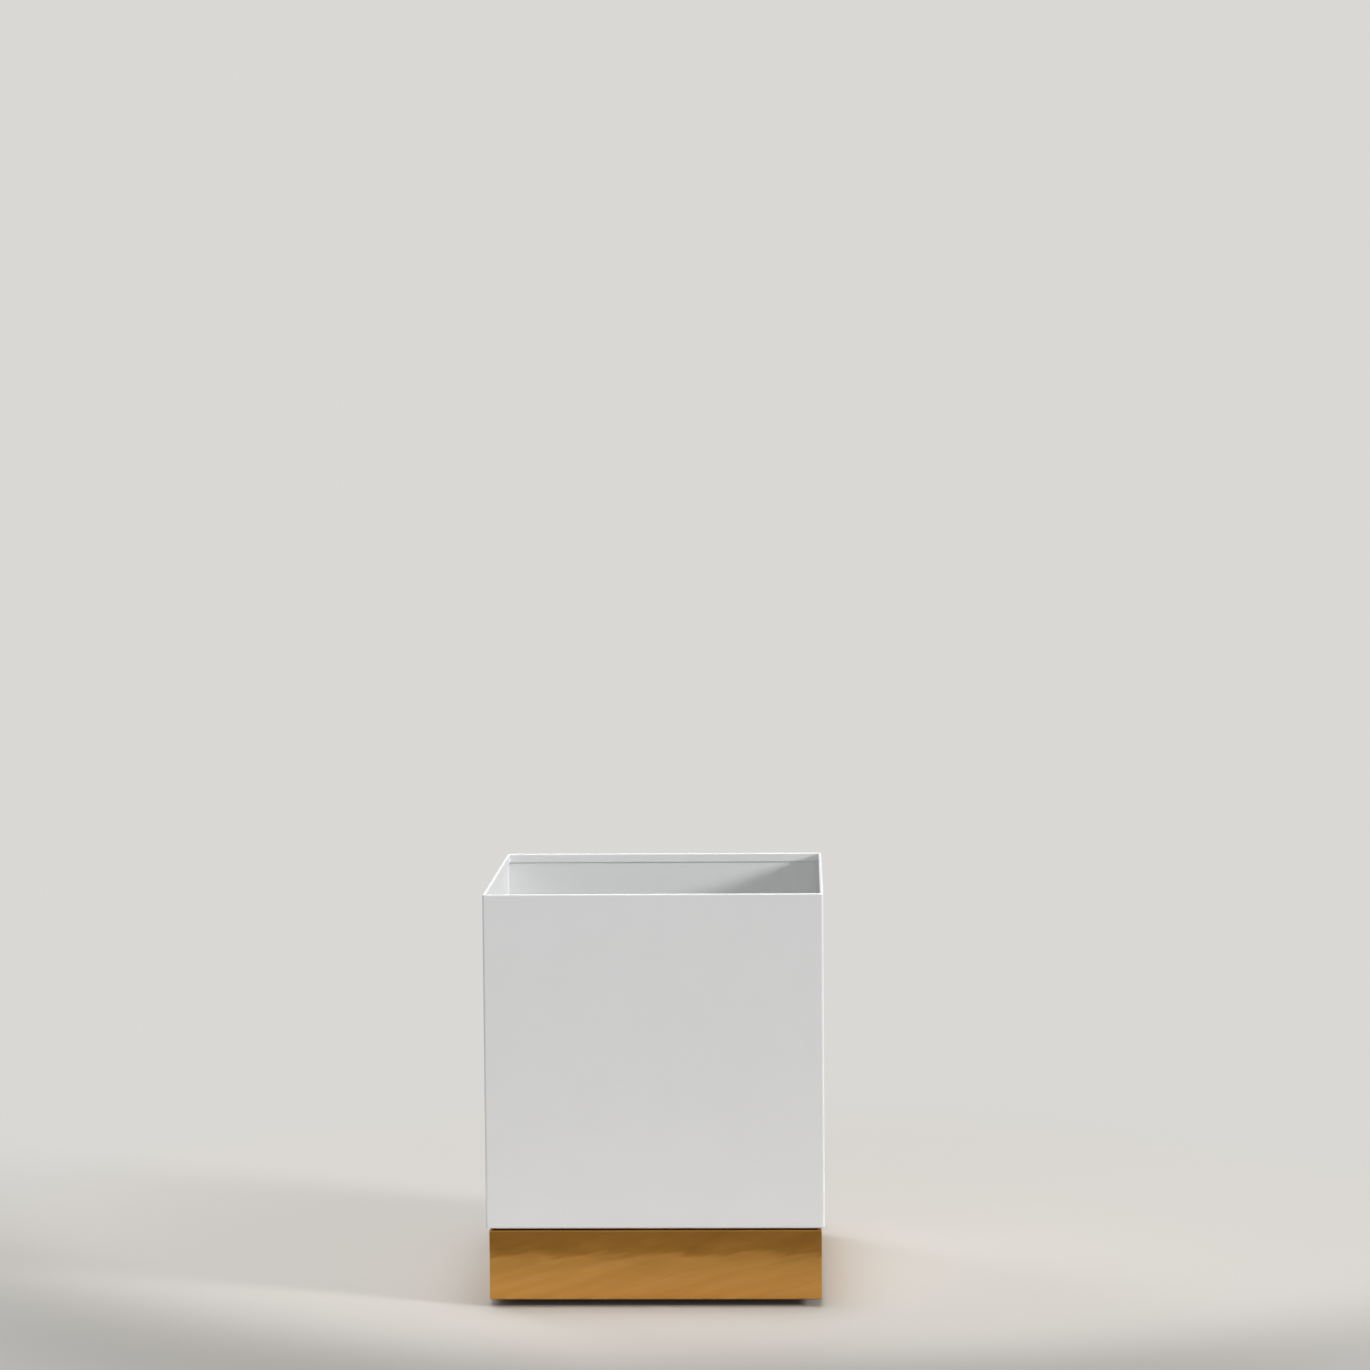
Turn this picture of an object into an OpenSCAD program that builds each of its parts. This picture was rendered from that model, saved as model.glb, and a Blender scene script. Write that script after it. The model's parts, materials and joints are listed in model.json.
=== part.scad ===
// Rolling planter: a square folded-steel shell on a recessed polished skirt
// that hides a tube frame and four swivel casters.
// Origin on the floor under the middle of the planter, front towards -Y, +Z up.

/* [Planter shell] */
// Outside width and depth of the square shell
shell_w = 508; // [420:1:640]
// Height of the shell from its foot to its rim
shell_h = 505; // [300:1:700]
// Thickness of the shell's steel sheet
shell_t = 1.5; // [1.2:0.1:2]
// Outside radius of the ground upright corners
shell_corner_r = 3; // [2:0.5:4]
// Inside radius of the bend at the shell's foot
foot_bend_r = 2.5; // [1:0.5:5]
// How far the foot flange reaches in past the line of studs
foot_reach = 13; // [8:1:30]
// Height of the hem folded down inside the rim
hem_h = 14; // [8:1:25]
// Gap left inside the folded hem
hem_gap = 1.6; // [0.8:0.1:2.5]

/* [Floor pan and drain] */
// Thickness of the floor pan's steel sheet
pan_t = 1.5; // [1:0.1:2]
// Height of the lip turned up round the pan
pan_lip_h = 20; // [12:1:40]
// Inside radius of the bend round the pan
pan_bend_r = 2; // [1:0.5:4]
// Clearance between the pan and the hem that it is lowered past
pan_clear = 0.5; // [0.3:0.1:2]
// Height of the sealant above the pan's lip, and its depth below it
bead_h = 6; // [3:0.5:10]
// Radius of the sump pressed into the middle of the pan
sump_r = 25; // [22:1:40]
// Depth of the sump
sump_d = 3; // [2:0.5:5]
// Radius of the drain hole
drain_r = 10; // [8:0.5:13]
// Clearance round the drain plug's shank
plug_clear = 0.08; // [0.04:0.01:0.1]
// Width of the rim round the drain plug
plug_rim_w = 4; // [3:0.5:6]
// Thickness of the drain plug's rim
plug_rim_t = 2; // [1:0.1:2]
// Length of the drain plug's shank
plug_l = 8; // [6:0.5:10]

/* [Skirt] */
// Thickness of the skirt's polished sheet
skirt_t = 1.2; // [0.8:0.1:2]
// How far the skirt stands back from the shell's face
skirt_inset = 4.5; // [2:0.5:15]
// Height of the skirt's lower edge above the floor
floor_gap = 11; // [6:1:20]
// Inside radius of the skirt's bends
skirt_bend_r = 1; // [0.5:0.25:2]
// How far the skirt's upper flange reaches in past the line of studs
skirt_reach = 9.5; // [7:0.5:10]
// Width of the lip turned in at the skirt's foot
skirt_lip_w = 12; // [6:1:18]
// Outside radius of the skirt's upright corners
skirt_corner_r = 2; // [1:0.5:3]
// Thickness of the gasket that makes the shadow line under the shell
shadow_gap = 2.8; // [1.5:0.1:6]
// Width of that gasket
gasket_w = 13; // [10:1:16]

/* [Base frame] */
// Outside width of the square frame tube
tube_w = 20; // [18:1:30]
// Wall of the frame tube
tube_t = 1.5; // [1:0.1:2.5]
// Outside corner radius of the frame tube
tube_r = 2; // [1.6:0.2:4]
// Clearance between the frame and the skirt round it
frame_clear = 1.3; // [0.8:0.1:4]
// Thickness of the corner gussets
gusset_t = 3; // [2.8:0.1:5]
// How far a gusset reaches in past its caster plate
gusset_margin = 18; // [12:1:30]
// Length cut from a gusset's inner corner
gusset_cut = 24; // [10:1:30]
// Gap between a cross bar and the gussets beside it
bar_gap = 37; // [32:1:50]
// Distance of a stud from the cross bar beside it, centre to centre
stud_from_bar = 30; // [24:1:38]
// Width of the rubber strips that carry the pan
strip_w = 16; // [10:1:18]
// Distance of the strips' ends from the foot flange
strip_end_gap = 4; // [2:1:20]

/* [Fasteners] */
// Radius of the studs and the caster bolts
stud_r = 3; // [2.5:0.25:3.5]
// Width across flats of their nuts and heads
stud_af = 10; // [9:0.5:11]
// Height of a stud's nut
stud_nut_h = 6; // [4:0.5:8]
// Height of a caster bolt's head
bolt_head_h = 4; // [3:0.5:4.5]
// Radius of a stud's washer
washer_r = 6.2; // [5.5:0.1:7]
// Thickness of a stud's washer
washer_t = 1.6; // [1:0.1:2]
// Clearance round a bolt or stud in its hole
hole_clear = 0.3; // [0.1:0.05:0.5]
// Thread left showing past a nut
thread_end = 2; // [1:0.5:4]
// Radius of the axle bolt
axle_r = 4; // [3:0.5:5]
// Width across flats of the axle bolt's head and nut
axle_af = 13; // [10:0.5:17]
// Height of the axle bolt's head
axle_head_h = 5.3; // [4:0.1:7]
// Height of the axle's locking nut
axle_nut_h = 8; // [6:0.5:9]
// Clearance between a bolt's thread and its nut or sleeve
thread_clear = 0.05; // [0.02:0.01:0.1]

/* [Casters] */
// Diameter of the caster wheel
wheel_d = 75; // [60:1:90]
// Width of the wheel across its tread
wheel_w = 24; // [20:1:30]
// Thickness of the rubber tyre
tyre_t = 7.5; // [5:0.5:10]
// Radius of the tread's crown across the wheel
tread_r = 28; // [20:1:60]
// Distance from the swivel's axis back to the axle
trail = 28; // [22:1:35]
// Clearance between the swivelling wheel and the skirt's lip
swivel_clear = 6; // [3:1:15]
// Clearance between the wheel and the kingpin's head above it
wheel_clear = 5.2; // [2:0.1:12]
// Clearance between the tread and each fork leg
tread_clear = 1.5; // [1:0.1:3]
// Clearance between the wheel's hub and each fork leg
hub_clear = 0.5; // [0.2:0.1:0.8]
// Side of the square mounting plate
plate_w = 60; // [60:1:80]
// Thickness of the mounting plate
plate_t = 2.5; // [2:0.1:4]
// Corner radius of the mounting plate
plate_r = 6; // [3:0.5:7]
// Distance of each mounting hole from the plate's edges
bolt_edge = 7; // [6:0.5:7]
// Thickness of the fork's pressed sheet
fork_t = 2.5; // [2:0.1:3.5]
// Width of a fork leg where it leaves the crown
leg_top_w = 24; // [18:1:25]
// Radius of a fork leg's lower end
leg_end_r = 10; // [8:0.5:12]
// Height over which a fork leg steps in
leg_step_h = 14; // [8:1:20]
// Outside radius of the bend from crown to leg
fork_bend_r = 4; // [2:0.5:6]

/* [Caster bearings] */
// Diameter of the balls above the crown
ball_d = 5; // [4:0.5:6]
// Radius of the circle those balls run on
race_r = 17; // [15:0.5:17.5]
// Depth to which those balls sit in each race
ball_sink = 0.95; // [0.5:0.05:1.2]
// Diameter of the balls below the crown
low_ball_d = 4; // [3:0.25:4.5]
// Radius of the circle the lower balls run on
low_race_r = 9; // [8.75:0.25:10.5]
// Depth to which the lower balls sit in each race
low_ball_sink = 0.75; // [0.4:0.05:1]
// Clearance between a ball and its race
ball_clear = 0.06; // [0.03:0.01:0.1]
// Space between neighbouring balls, at least
ball_gap = 0.6; // [0.3:0.1:1.5]
// Width of the crown outside the balls
crown_rim = 3.5; // [3:0.1:4]
// Radius of the kingpin
kingpin_r = 5; // [4:0.25:5.5]
// Radius of the kingpin's two heads
kingpin_head_r = 8; // [7:0.25:9]
// Thickness of the kingpin's lower head
kingpin_head_t = 3; // [2:0.1:4]
// Thickness of the kingpin's riveted upper head
kingpin_rivet_t = 2.4; // [1.5:0.1:2.6]
// Thickness of the lower race
low_race_t = 2.2; // [1.6:0.1:3]
// Width of the lower race outside its balls
low_race_rim = 1; // [0.5:0.1:2]
// Clearance between the kingpin and the crown's hole
crown_clear = 0.8; // [0.4:0.1:1]
// Wall of the dust ring
dust_ring_t = 1.5; // [1:0.1:2]
// Running gap between the dust ring and the crown
dust_gap = 0.3; // [0.2:0.05:0.6]

/* [Wheel hub] */
// Wall of the sleeve that the wheel turns on
sleeve_t = 1.95; // [1.2:0.05:2.5]
// Running clearance between the sleeve and the hub's bore
sleeve_clear = 0.05; // [0.02:0.01:0.1]
// Wall of the hub's boss
boss_t = 4; // [3:0.5:5]
// Thickness of the hub's rim
rim_t = 4; // [2.5:0.5:6]
// Thickness of the hub's web
web_t = 4; // [3:0.5:8]
// Thickness of the hub's ribs
rib_t = 2.4; // [1.6:0.1:4]
// How far the ribs stand back from the rim's edge
rib_back = 3; // [1:0.5:6]
// Number of ribs round each side of the hub
rib_count = 8; // [4:1:12]

/* [Hidden] */
$fn = 72;

// Caster heights, from the floor up
wheel_r = wheel_d / 2;
low_head_z = wheel_d + wheel_clear;
low_race_z = low_head_z + kingpin_head_t;
low_race_top = low_race_z + low_race_t;
crown_z = low_race_top + low_ball_d - 2 * low_ball_sink;
crown_top = crown_z + fork_t;
plate_z = crown_top + ball_d - 2 * ball_sink;
frame_z = plate_z + plate_t;
low_ball_z = low_race_top - low_ball_sink + low_ball_d / 2;
ball_z = crown_top - ball_sink + ball_d / 2;

// Heights of the frame, skirt, shell and pan
gusset_top = frame_z + gusset_t;
frame_top = frame_z + tube_w;
skirt_top = frame_top + skirt_t;
shell_z = skirt_top + shadow_gap;
rim_z = shell_z + shell_h;
pan_z = shell_z + shell_t;
pan_top = pan_z + pan_t;
sump_z = pan_top - sump_d;

// Distances out from the middle, on every side
shell_half = shell_w / 2;
shell_in = shell_half - shell_t;
hem_r = hem_gap / 2 + shell_t;
hem_in = shell_half - 2 * hem_r;
pan_half = hem_in - pan_clear;
pan_flat = pan_half - pan_t - pan_bend_r;
skirt_half = shell_half - skirt_inset;
skirt_lip_in = skirt_half - skirt_lip_w;
frame_half = skirt_half - skirt_t - frame_clear;
frame_in = frame_half - tube_w;
stud_line = frame_half - tube_w / 2;
foot_in = stud_line - foot_reach;
swivel_r = norm([trail + wheel_r, wheel_w / 2]);
kingpin_at = skirt_lip_in - swivel_r - swivel_clear;
gusset_in = kingpin_at - plate_w / 2 - gusset_margin;
sump_out = sump_r + pan_t * tan(22.5);
bar_at = max(gusset_in - bar_gap - tube_w / 2, sump_out + pan_t + strip_w / 2);
stud_side = bar_at + stud_from_bar;

// Widths and radii in the casters
bolt_off = plate_w / 2 - bolt_edge;
leg_in = wheel_w / 2 + tread_clear;
leg_out = leg_in + fork_t;
hub_half = leg_in - hub_clear;
rim_half = wheel_w / 2 - 1;
crown_r = race_r + ball_d / 2 + crown_rim;
sleeve_in = axle_r + thread_clear;
sleeve_out = sleeve_in + sleeve_t;
hub_bore_r = sleeve_out + sleeve_clear;
boss_r = hub_bore_r + boss_t;
tyre_in = wheel_r - tyre_t;
rim_in = tyre_in - rim_t;
hole_r = stud_r + hole_clear;

// Small overlap that lets a cut pass right through a face
eps = 0.5;

CORNERS = [
    ["front_left", [-1, -1]],
    ["front_right", [1, -1]],
    ["rear_left", [-1, 1]],
    ["rear_right", [1, 1]]
];
CASTER_PIECES = [
    "top_plate", "kingpin", "lower_race", "dust_ring", "bearing_balls", "fork",
    "axle_bolt", "axle_nut", "axle_sleeve", "wheel_hub", "wheel_tyre"
];

// Shared shapes

// Square with rounded corners, about the origin
module rounded_square(w, r) {
    square([w, w - 2 * r], center = true);
    square([w - 2 * r, w], center = true);
    for (x = [-1, 1], y = [-1, 1])
        translate([x, y] * (w / 2 - r)) circle(r);
}

// Quarter of a bent sheet's section, in the first quadrant
module quarter_bend(r_in, t) {
    intersection() {
        difference() {
            circle(r_in + t);
            circle(r_in);
        }
        square(r_in + t);
    }
}

// Sweeps a section round the four sides with mitred corners.
// The section's x is the distance out from the middle, its y the height.
module square_ring(half, top) {
    for (a = [0:90:270]) rotate(a) intersection() {
        translate([0, half, 0]) rotate([90, 0, 0]) linear_extrude(2 * half) children();
        linear_extrude(top) polygon([[0, 0], [half, -half], [half, half]]);
    }
}

// Upright prism with rounded corners, used to round a ring's corners
module corner_round(w, r, z, h) {
    translate([0, 0, z]) linear_extrude(h) rounded_square(w, r);
}

// Puts its child at each stud, two on every side
module at_studs() {
    for (a = [0:90:270], s = [-1, 1]) rotate(a) translate([stud_line, s * stud_side, 0]) children();
}

// Puts its child at each caster's kingpin
module at_kingpins() {
    for (c = CORNERS) translate([c[1][0] * kingpin_at, c[1][1] * kingpin_at, 0]) children();
}

// Puts its child at one caster's four mounting bolts
module at_plate_bolts() {
    for (x = [-1, 1], y = [-1, 1]) translate([x * bolt_off, y * bolt_off, 0]) children();
}

// Hexagon with its corners bevelled at the top
module hex_block(af, h) {
    corner = af / 2 / cos(30);
    intersection() {
        cylinder(h = h, r = corner, $fn = 6);
        cylinder(h = h, r1 = af / 2 + h, r2 = af / 2);
    }
}

// Bolt with its head below the seat at z = 0 and its shank upwards
module hex_bolt(r, af, head_h, length) {
    mirror([0, 0, 1]) hex_block(af, head_h);
    translate([0, 0, -head_h / 2]) cylinder(h = head_h / 2 + length, r = r);
}

// Locking nut with its round collar at the top
module lock_nut(r, af, h) {
    collar = h / 4;
    difference() {
        union() {
            hex_block(af, h - collar);
            cylinder(h = h, r = af / 2 - collar / 2);
        }
        translate([0, 0, -eps]) cylinder(h = h + 2 * eps, r = r + thread_clear);
    }
}

// Groove that balls of diameter d run in
module race_groove(d, r, z) {
    translate([0, 0, z]) rotate_extrude() translate([r, 0]) circle(d / 2 + ball_clear);
}

// Ring of balls
module ball_ring(d, r, z) {
    count = floor(PI * 2 * r / (d + ball_gap));
    for (k = [0:count - 1]) rotate(360 * k / count) translate([r, 0, z]) sphere(d / 2);
}

// Planter

// Section of the shell: hem, wall, foot bend and flange
module shell_section() {
    bend_z = shell_z + foot_bend_r + shell_t;
    fold_z = rim_z - hem_r;
    translate([shell_in, bend_z]) square([shell_t, fold_z - bend_z]);
    translate([shell_in - foot_bend_r, bend_z]) rotate(-90) quarter_bend(foot_bend_r, shell_t);
    translate([foot_in, shell_z]) square([shell_in - foot_bend_r - foot_in, shell_t]);
    for (a = [0, 90]) translate([shell_half - hem_r, fold_z]) rotate(a) quarter_bend(hem_gap / 2, shell_t);
    translate([hem_in, rim_z - hem_h]) square([shell_t, hem_h - hem_r]);
}

module planter_shell() {
    color("whitesmoke") intersection() {
        square_ring(shell_half, rim_z + eps) shell_section();
        corner_round(shell_w, shell_corner_r, shell_z - eps, shell_h + 2 * eps);
    }
}

// Section of the pan's lip, with a small overlap into its flat floor
module pan_lip_section() {
    bend_z = pan_top + pan_bend_r;
    translate([pan_flat - eps, pan_z]) square([eps, pan_t]);
    translate([pan_flat, bend_z]) rotate(-90) quarter_bend(pan_bend_r, pan_t);
    translate([pan_half - pan_t, bend_z]) square([pan_t, pan_z + pan_lip_h - bend_z]);
}

// Half section of the pressed sump, with its sloping wall and a small overlap into the flat floor
module sump_section() {
    polygon([
        [drain_r, sump_z - pan_t],
        [drain_r, sump_z],
        [sump_r - sump_d, sump_z],
        [sump_r, pan_top],
        [sump_out + eps, pan_top],
        [sump_out + eps, pan_z],
        [sump_out, pan_z],
        [sump_out - sump_d, sump_z - pan_t]
    ]);
}

module floor_pan() {
    color("silver") union() {
        difference() {
            translate([-pan_flat, -pan_flat, pan_z]) cube([2 * pan_flat, 2 * pan_flat, pan_t]);
            translate([0, 0, pan_z - eps]) cylinder(h = pan_t + 2 * eps, r = sump_out);
        }
        rotate_extrude() sump_section();
        square_ring(pan_half, rim_z) pan_lip_section();
    }
}

// Cove of sealant between the pan's lip and the shell
module sealant_bead() {
    lip_z = pan_z + pan_lip_h;
    reach = shell_in - pan_half + pan_t;
    color("gainsboro") square_ring(shell_in, rim_z) difference() {
        union() {
            translate([pan_half, lip_z - bead_h]) square([shell_in - pan_half, bead_h]);
            translate([shell_in - reach, lip_z]) square([reach, bead_h]);
        }
        translate([shell_in - reach, lip_z + bead_h]) scale(min(reach, bead_h) - 0.4) circle(1);
    }
}

module drain_plug() {
    rim_r = drain_r + plug_rim_w;
    shank_r = drain_r - plug_clear;
    pocket_r = drain_r * 0.7;
    pocket_z = sump_z - plug_l / 2;
    bar_w = pocket_r / 2;
    color("dimgray") difference() {
        rotate_extrude() polygon([
            [0, sump_z + plug_rim_t],
            [rim_r - plug_rim_t / 2, sump_z + plug_rim_t],
            [rim_r, sump_z + plug_rim_t / 2],
            [rim_r, sump_z],
            [shank_r, sump_z],
            [shank_r, sump_z - pan_t],
            [shank_r * 0.9, sump_z - plug_l],
            [0, sump_z - plug_l]
        ]);
        difference() {
            translate([0, 0, pocket_z]) cylinder(h = plug_l + plug_rim_t, r = pocket_r);
            translate([-pocket_r - eps, -bar_w / 2, pocket_z + plug_l / 4])
                cube([2 * pocket_r + 2 * eps, bar_w, plug_l]);
        }
    }
}

module shell_gasket() {
    color("black") difference() {
        translate([0, 0, skirt_top]) linear_extrude(shadow_gap) difference() {
            square(2 * stud_line + gasket_w, center = true);
            square(2 * stud_line - gasket_w, center = true);
        }
        at_studs() translate([0, 0, skirt_top - eps]) cylinder(h = shadow_gap + 2 * eps, r = hole_r);
    }
}

// Section of the skirt: upper flange, face and lower lip
module skirt_section() {
    bend = skirt_bend_r + skirt_t;
    flange_in = stud_line - skirt_reach;
    flat_out = skirt_half - bend;
    translate([flange_in, frame_top]) square([flat_out - flange_in, skirt_t]);
    translate([flat_out, skirt_top - bend]) quarter_bend(skirt_bend_r, skirt_t);
    translate([skirt_half - skirt_t, floor_gap + bend]) square([skirt_t, skirt_top - floor_gap - 2 * bend]);
    translate([flat_out, floor_gap + bend]) rotate(-90) quarter_bend(skirt_bend_r, skirt_t);
    translate([skirt_lip_in, floor_gap]) square([flat_out - skirt_lip_in, skirt_t]);
}

module skirt() {
    color("goldenrod") difference() {
        intersection() {
            square_ring(skirt_half, skirt_top + eps) skirt_section();
            corner_round(2 * skirt_half, skirt_corner_r, floor_gap - eps, skirt_top - floor_gap + 2 * eps);
        }
        at_studs() translate([0, 0, frame_top - eps]) cylinder(h = skirt_t + 2 * eps, r = hole_r);
    }
}

// Frame

// Section of the square tube, about its own middle
module tube_section() {
    difference() {
        rounded_square(tube_w, tube_r);
        square(tube_w - 2 * tube_t, center = true);
    }
}

module base_frame() {
    color("black") difference() {
        square_ring(frame_half, frame_top + eps) translate([stud_line, frame_z + tube_w / 2]) tube_section();
        at_studs() translate([0, 0, frame_z - eps]) cylinder(h = tube_w + 2 * eps, r = hole_r);
    }
}

module cross_bars() {
    color("black") for (s = [-1, 1])
        translate([s * bar_at, frame_in, frame_z + tube_w / 2]) rotate([90, 0, 0])
            linear_extrude(2 * frame_in) tube_section();
}

// One gusset's outline in its corner, cut across its inner corner.
// A thin gusset reaches in under the tube's rounded edge until it touches.
module gusset_outline() {
    below_flat = max(tube_r - gusset_t, 0);
    edge = frame_in + tube_r - sqrt(pow(tube_r, 2) - pow(below_flat, 2));
    polygon([
        [gusset_in + gusset_cut, gusset_in],
        [edge, gusset_in],
        [edge, edge],
        [gusset_in, edge],
        [gusset_in, gusset_in + gusset_cut]
    ]);
}

module corner_gussets() {
    color("black") for (c = CORNERS) mirror([c[1][0] < 0 ? 1 : 0, 0, 0]) mirror([0, c[1][1] < 0 ? 1 : 0, 0])
        translate([0, 0, frame_z]) linear_extrude(gusset_t) difference() {
            gusset_outline();
            translate([kingpin_at, kingpin_at]) {
                circle(kingpin_head_r + 4);
                at_plate_bolts() circle(hole_r);
            }
        }
}

module support_strips() {
    length = 2 * (foot_in - strip_end_gap);
    color("dimgray") for (s = [-1, 1])
        translate([s * bar_at - strip_w / 2, -length / 2, frame_top]) cube([strip_w, length, pan_z - frame_top]);
}

// Fasteners

module shell_studs() {
    end_z = frame_z - washer_t - stud_nut_h - thread_end;
    color("silver") at_studs() translate([0, 0, end_z]) cylinder(h = shell_z - end_z, r = stud_r);
}

module stud_washers() {
    color("silver") at_studs() translate([0, 0, frame_z - washer_t]) difference() {
        cylinder(h = washer_t, r = washer_r);
        translate([0, 0, -eps]) cylinder(h = washer_t + 2 * eps, r = hole_r);
    }
}

module stud_nuts() {
    color("silver") at_studs() translate([0, 0, frame_z - washer_t]) mirror([0, 0, 1])
        lock_nut(stud_r, stud_af, stud_nut_h);
}

module caster_bolts() {
    length = plate_t + gusset_t + stud_nut_h + thread_end;
    color("silver") at_kingpins() at_plate_bolts() translate([0, 0, plate_z])
        hex_bolt(stud_r, stud_af, bolt_head_h, length);
}

module caster_nuts() {
    color("silver") at_kingpins() at_plate_bolts() translate([0, 0, gusset_top])
        lock_nut(stud_r, stud_af, stud_nut_h);
}

// Caster, about its kingpin, with the wheel trailing towards +Y

module top_plate() {
    color("lightsteelblue") difference() {
        translate([0, 0, plate_z]) linear_extrude(plate_t) difference() {
            rounded_square(plate_w, plate_r);
            circle(kingpin_r + thread_clear);
            at_plate_bolts() circle(hole_r);
        }
        race_groove(ball_d, race_r, ball_z);
    }
}

// Rivet through the bearing: lower head, shank and upset upper head
module kingpin() {
    bevel = kingpin_head_t / 3;
    rivet_z = frame_z + kingpin_rivet_t;
    color("silver") rotate_extrude() polygon([
        [0, low_head_z],
        [kingpin_head_r - bevel, low_head_z],
        [kingpin_head_r, low_head_z + bevel],
        [kingpin_head_r, low_race_z],
        [kingpin_r, low_race_z],
        [kingpin_r, frame_z],
        [kingpin_head_r, frame_z],
        [kingpin_head_r - bevel, rivet_z],
        [0, rivet_z]
    ]);
}

module lower_race() {
    color("silver") difference() {
        translate([0, 0, low_race_z]) linear_extrude(low_race_t) difference() {
            circle(low_race_r + low_ball_d / 2 + low_race_rim);
            circle(kingpin_r + thread_clear);
        }
        race_groove(low_ball_d, low_race_r, low_ball_z);
    }
}

module dust_ring() {
    ring_z = crown_top + dust_gap;
    ring_out = crown_r - dust_gap;
    color("dimgray") translate([0, 0, ring_z]) linear_extrude(plate_z - ring_z) difference() {
        circle(ring_out);
        circle(ring_out - dust_ring_t);
    }
}

module bearing_balls() {
    color("silver") {
        ball_ring(ball_d, race_r, ball_z);
        ball_ring(low_ball_d, low_race_r, low_ball_z);
    }
}

// Point where a line from p touches a circle, on its left (side 1) or right (side -1)
function touch(p, c, r, side) =
    let (v = p - c, a = atan2(v[1], v[0]) + side * acos(r / norm(v)))
    c + r * [cos(a), sin(a)];

// Side view of both fork legs: x is the trail direction, y the height
module leg_outline() {
    axle = [trail, wheel_r];
    front = [-leg_top_w / 2, crown_top];
    back = [leg_top_w / 2, crown_top];
    polygon([front, touch(front, axle, leg_end_r, 1), axle, touch(back, axle, leg_end_r, -1), back]);
    translate(axle) circle(leg_end_r);
}

// Front view of one leg's sheet, bent down from the crown and stepped in to the hub
module leg_section() {
    step_z = crown_top - fork_bend_r;
    foot = wheel_r - leg_end_r - eps;
    bend = [for (a = [0:15:90]) [crown_r - fork_bend_r, step_z] + fork_bend_r * [cos(a), sin(a)]];
    polygon(concat(
        [[leg_out, foot], [leg_out, step_z - leg_step_h]],
        bend,
        [
            [0, crown_top], [0, crown_z], [crown_r - fork_t, crown_z],
            [crown_r - fork_t, step_z], [leg_in, step_z - leg_step_h], [leg_in, foot]
        ]
    ));
}

module fork() {
    color("silver") difference() {
        union() {
            translate([0, 0, crown_z]) cylinder(h = fork_t, r = crown_r);
            for (s = [0, 1]) mirror([s, 0, 0]) intersection() {
                translate([0, 2 * wheel_r, 0]) rotate([90, 0, 0]) linear_extrude(4 * wheel_r) leg_section();
                rotate([90, 0, 90]) linear_extrude(2 * crown_r) leg_outline();
            }
        }
        translate([0, 0, crown_z - eps]) cylinder(h = fork_t + 2 * eps, r = kingpin_r + crown_clear);
        race_groove(ball_d, race_r, ball_z);
        race_groove(low_ball_d, low_race_r, low_ball_z);
        translate([-crown_r, trail, wheel_r]) rotate([0, 90, 0]) cylinder(h = 2 * crown_r, r = sleeve_in);
    }
}

// Puts its child on the axle, with the child's z along +X
module on_axle(x) {
    translate([x, trail, wheel_r]) rotate([0, 90, 0]) children();
}

module axle_bolt() {
    length = 2 * leg_out + axle_nut_h + thread_end;
    color("silver") on_axle(-leg_out) hex_bolt(axle_r, axle_af, axle_head_h, length);
}

module axle_nut() {
    color("silver") on_axle(leg_out) lock_nut(axle_r, axle_af, axle_nut_h);
}

module axle_sleeve() {
    color("silver") on_axle(-leg_in) linear_extrude(2 * leg_in) difference() {
        circle(sleeve_out);
        circle(sleeve_in);
    }
}

// Half section of the hub: boss, web and rim
module hub_section() {
    translate([hub_bore_r, -hub_half]) square([boss_t, 2 * hub_half]);
    translate([boss_r - eps, -web_t / 2]) square([rim_in - boss_r + 2 * eps, web_t]);
    translate([rim_in, -rim_half]) square([rim_t, 2 * rim_half]);
}

module wheel_hub() {
    rib_w = 2 * (rim_half - rib_back);
    color("white") on_axle(0) union() {
        rotate_extrude() hub_section();
        for (k = [0:rib_count - 1]) rotate(360 * k / rib_count)
            translate([boss_r - eps, -rib_t / 2, -rib_w / 2]) cube([rim_in - boss_r + 2 * eps, rib_t, rib_w]);
    }
}

module wheel_tyre() {
    color("gray") on_axle(0) rotate_extrude() intersection() {
        translate([tyre_in, -wheel_w / 2]) square([tyre_t, wheel_w]);
        translate([wheel_r - tread_r, 0]) circle(tread_r);
    }
}

// Puts its child at one corner's kingpin
module at_corner(c) {
    translate([c[1][0] * kingpin_at, c[1][1] * kingpin_at, 0]) children();
}

planter_shell();
floor_pan();
sealant_bead();
drain_plug();
shell_gasket();
skirt();
base_frame();
cross_bars();
corner_gussets();
support_strips();
shell_studs();
stud_washers();
stud_nuts();
caster_bolts();
caster_nuts();
for (c = CORNERS) {
    at_corner(c) top_plate();
    at_corner(c) kingpin();
    at_corner(c) lower_race();
    at_corner(c) dust_ring();
    at_corner(c) bearing_balls();
    at_corner(c) fork();
    at_corner(c) axle_bolt();
    at_corner(c) axle_nut();
    at_corner(c) axle_sleeve();
    at_corner(c) wheel_hub();
    at_corner(c) wheel_tyre();
}
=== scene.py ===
# %% [markdown]
# # Rolling planter
# A square planter of folded steel with a white powder coat stands on a polished,
# gold-coloured skirt. The skirt is set back a little and hides a tube frame and
# four swivel casters. The CAD model gives every piece its place and size. This
# file gives each piece its surface, in the same frame and in metres.
#
# Some pieces are drawn again here as finer meshes, because their look depends on
# smooth bends or fine threads: the shell, the skirt, the sealant, the tyres and
# the fasteners. The others keep their CAD mesh, or a copy with softened edges.

# %% Load the fixed frame
import json
import math

import bmesh
import bpy
import numpy as np
from mathutils import Matrix, Vector


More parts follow.
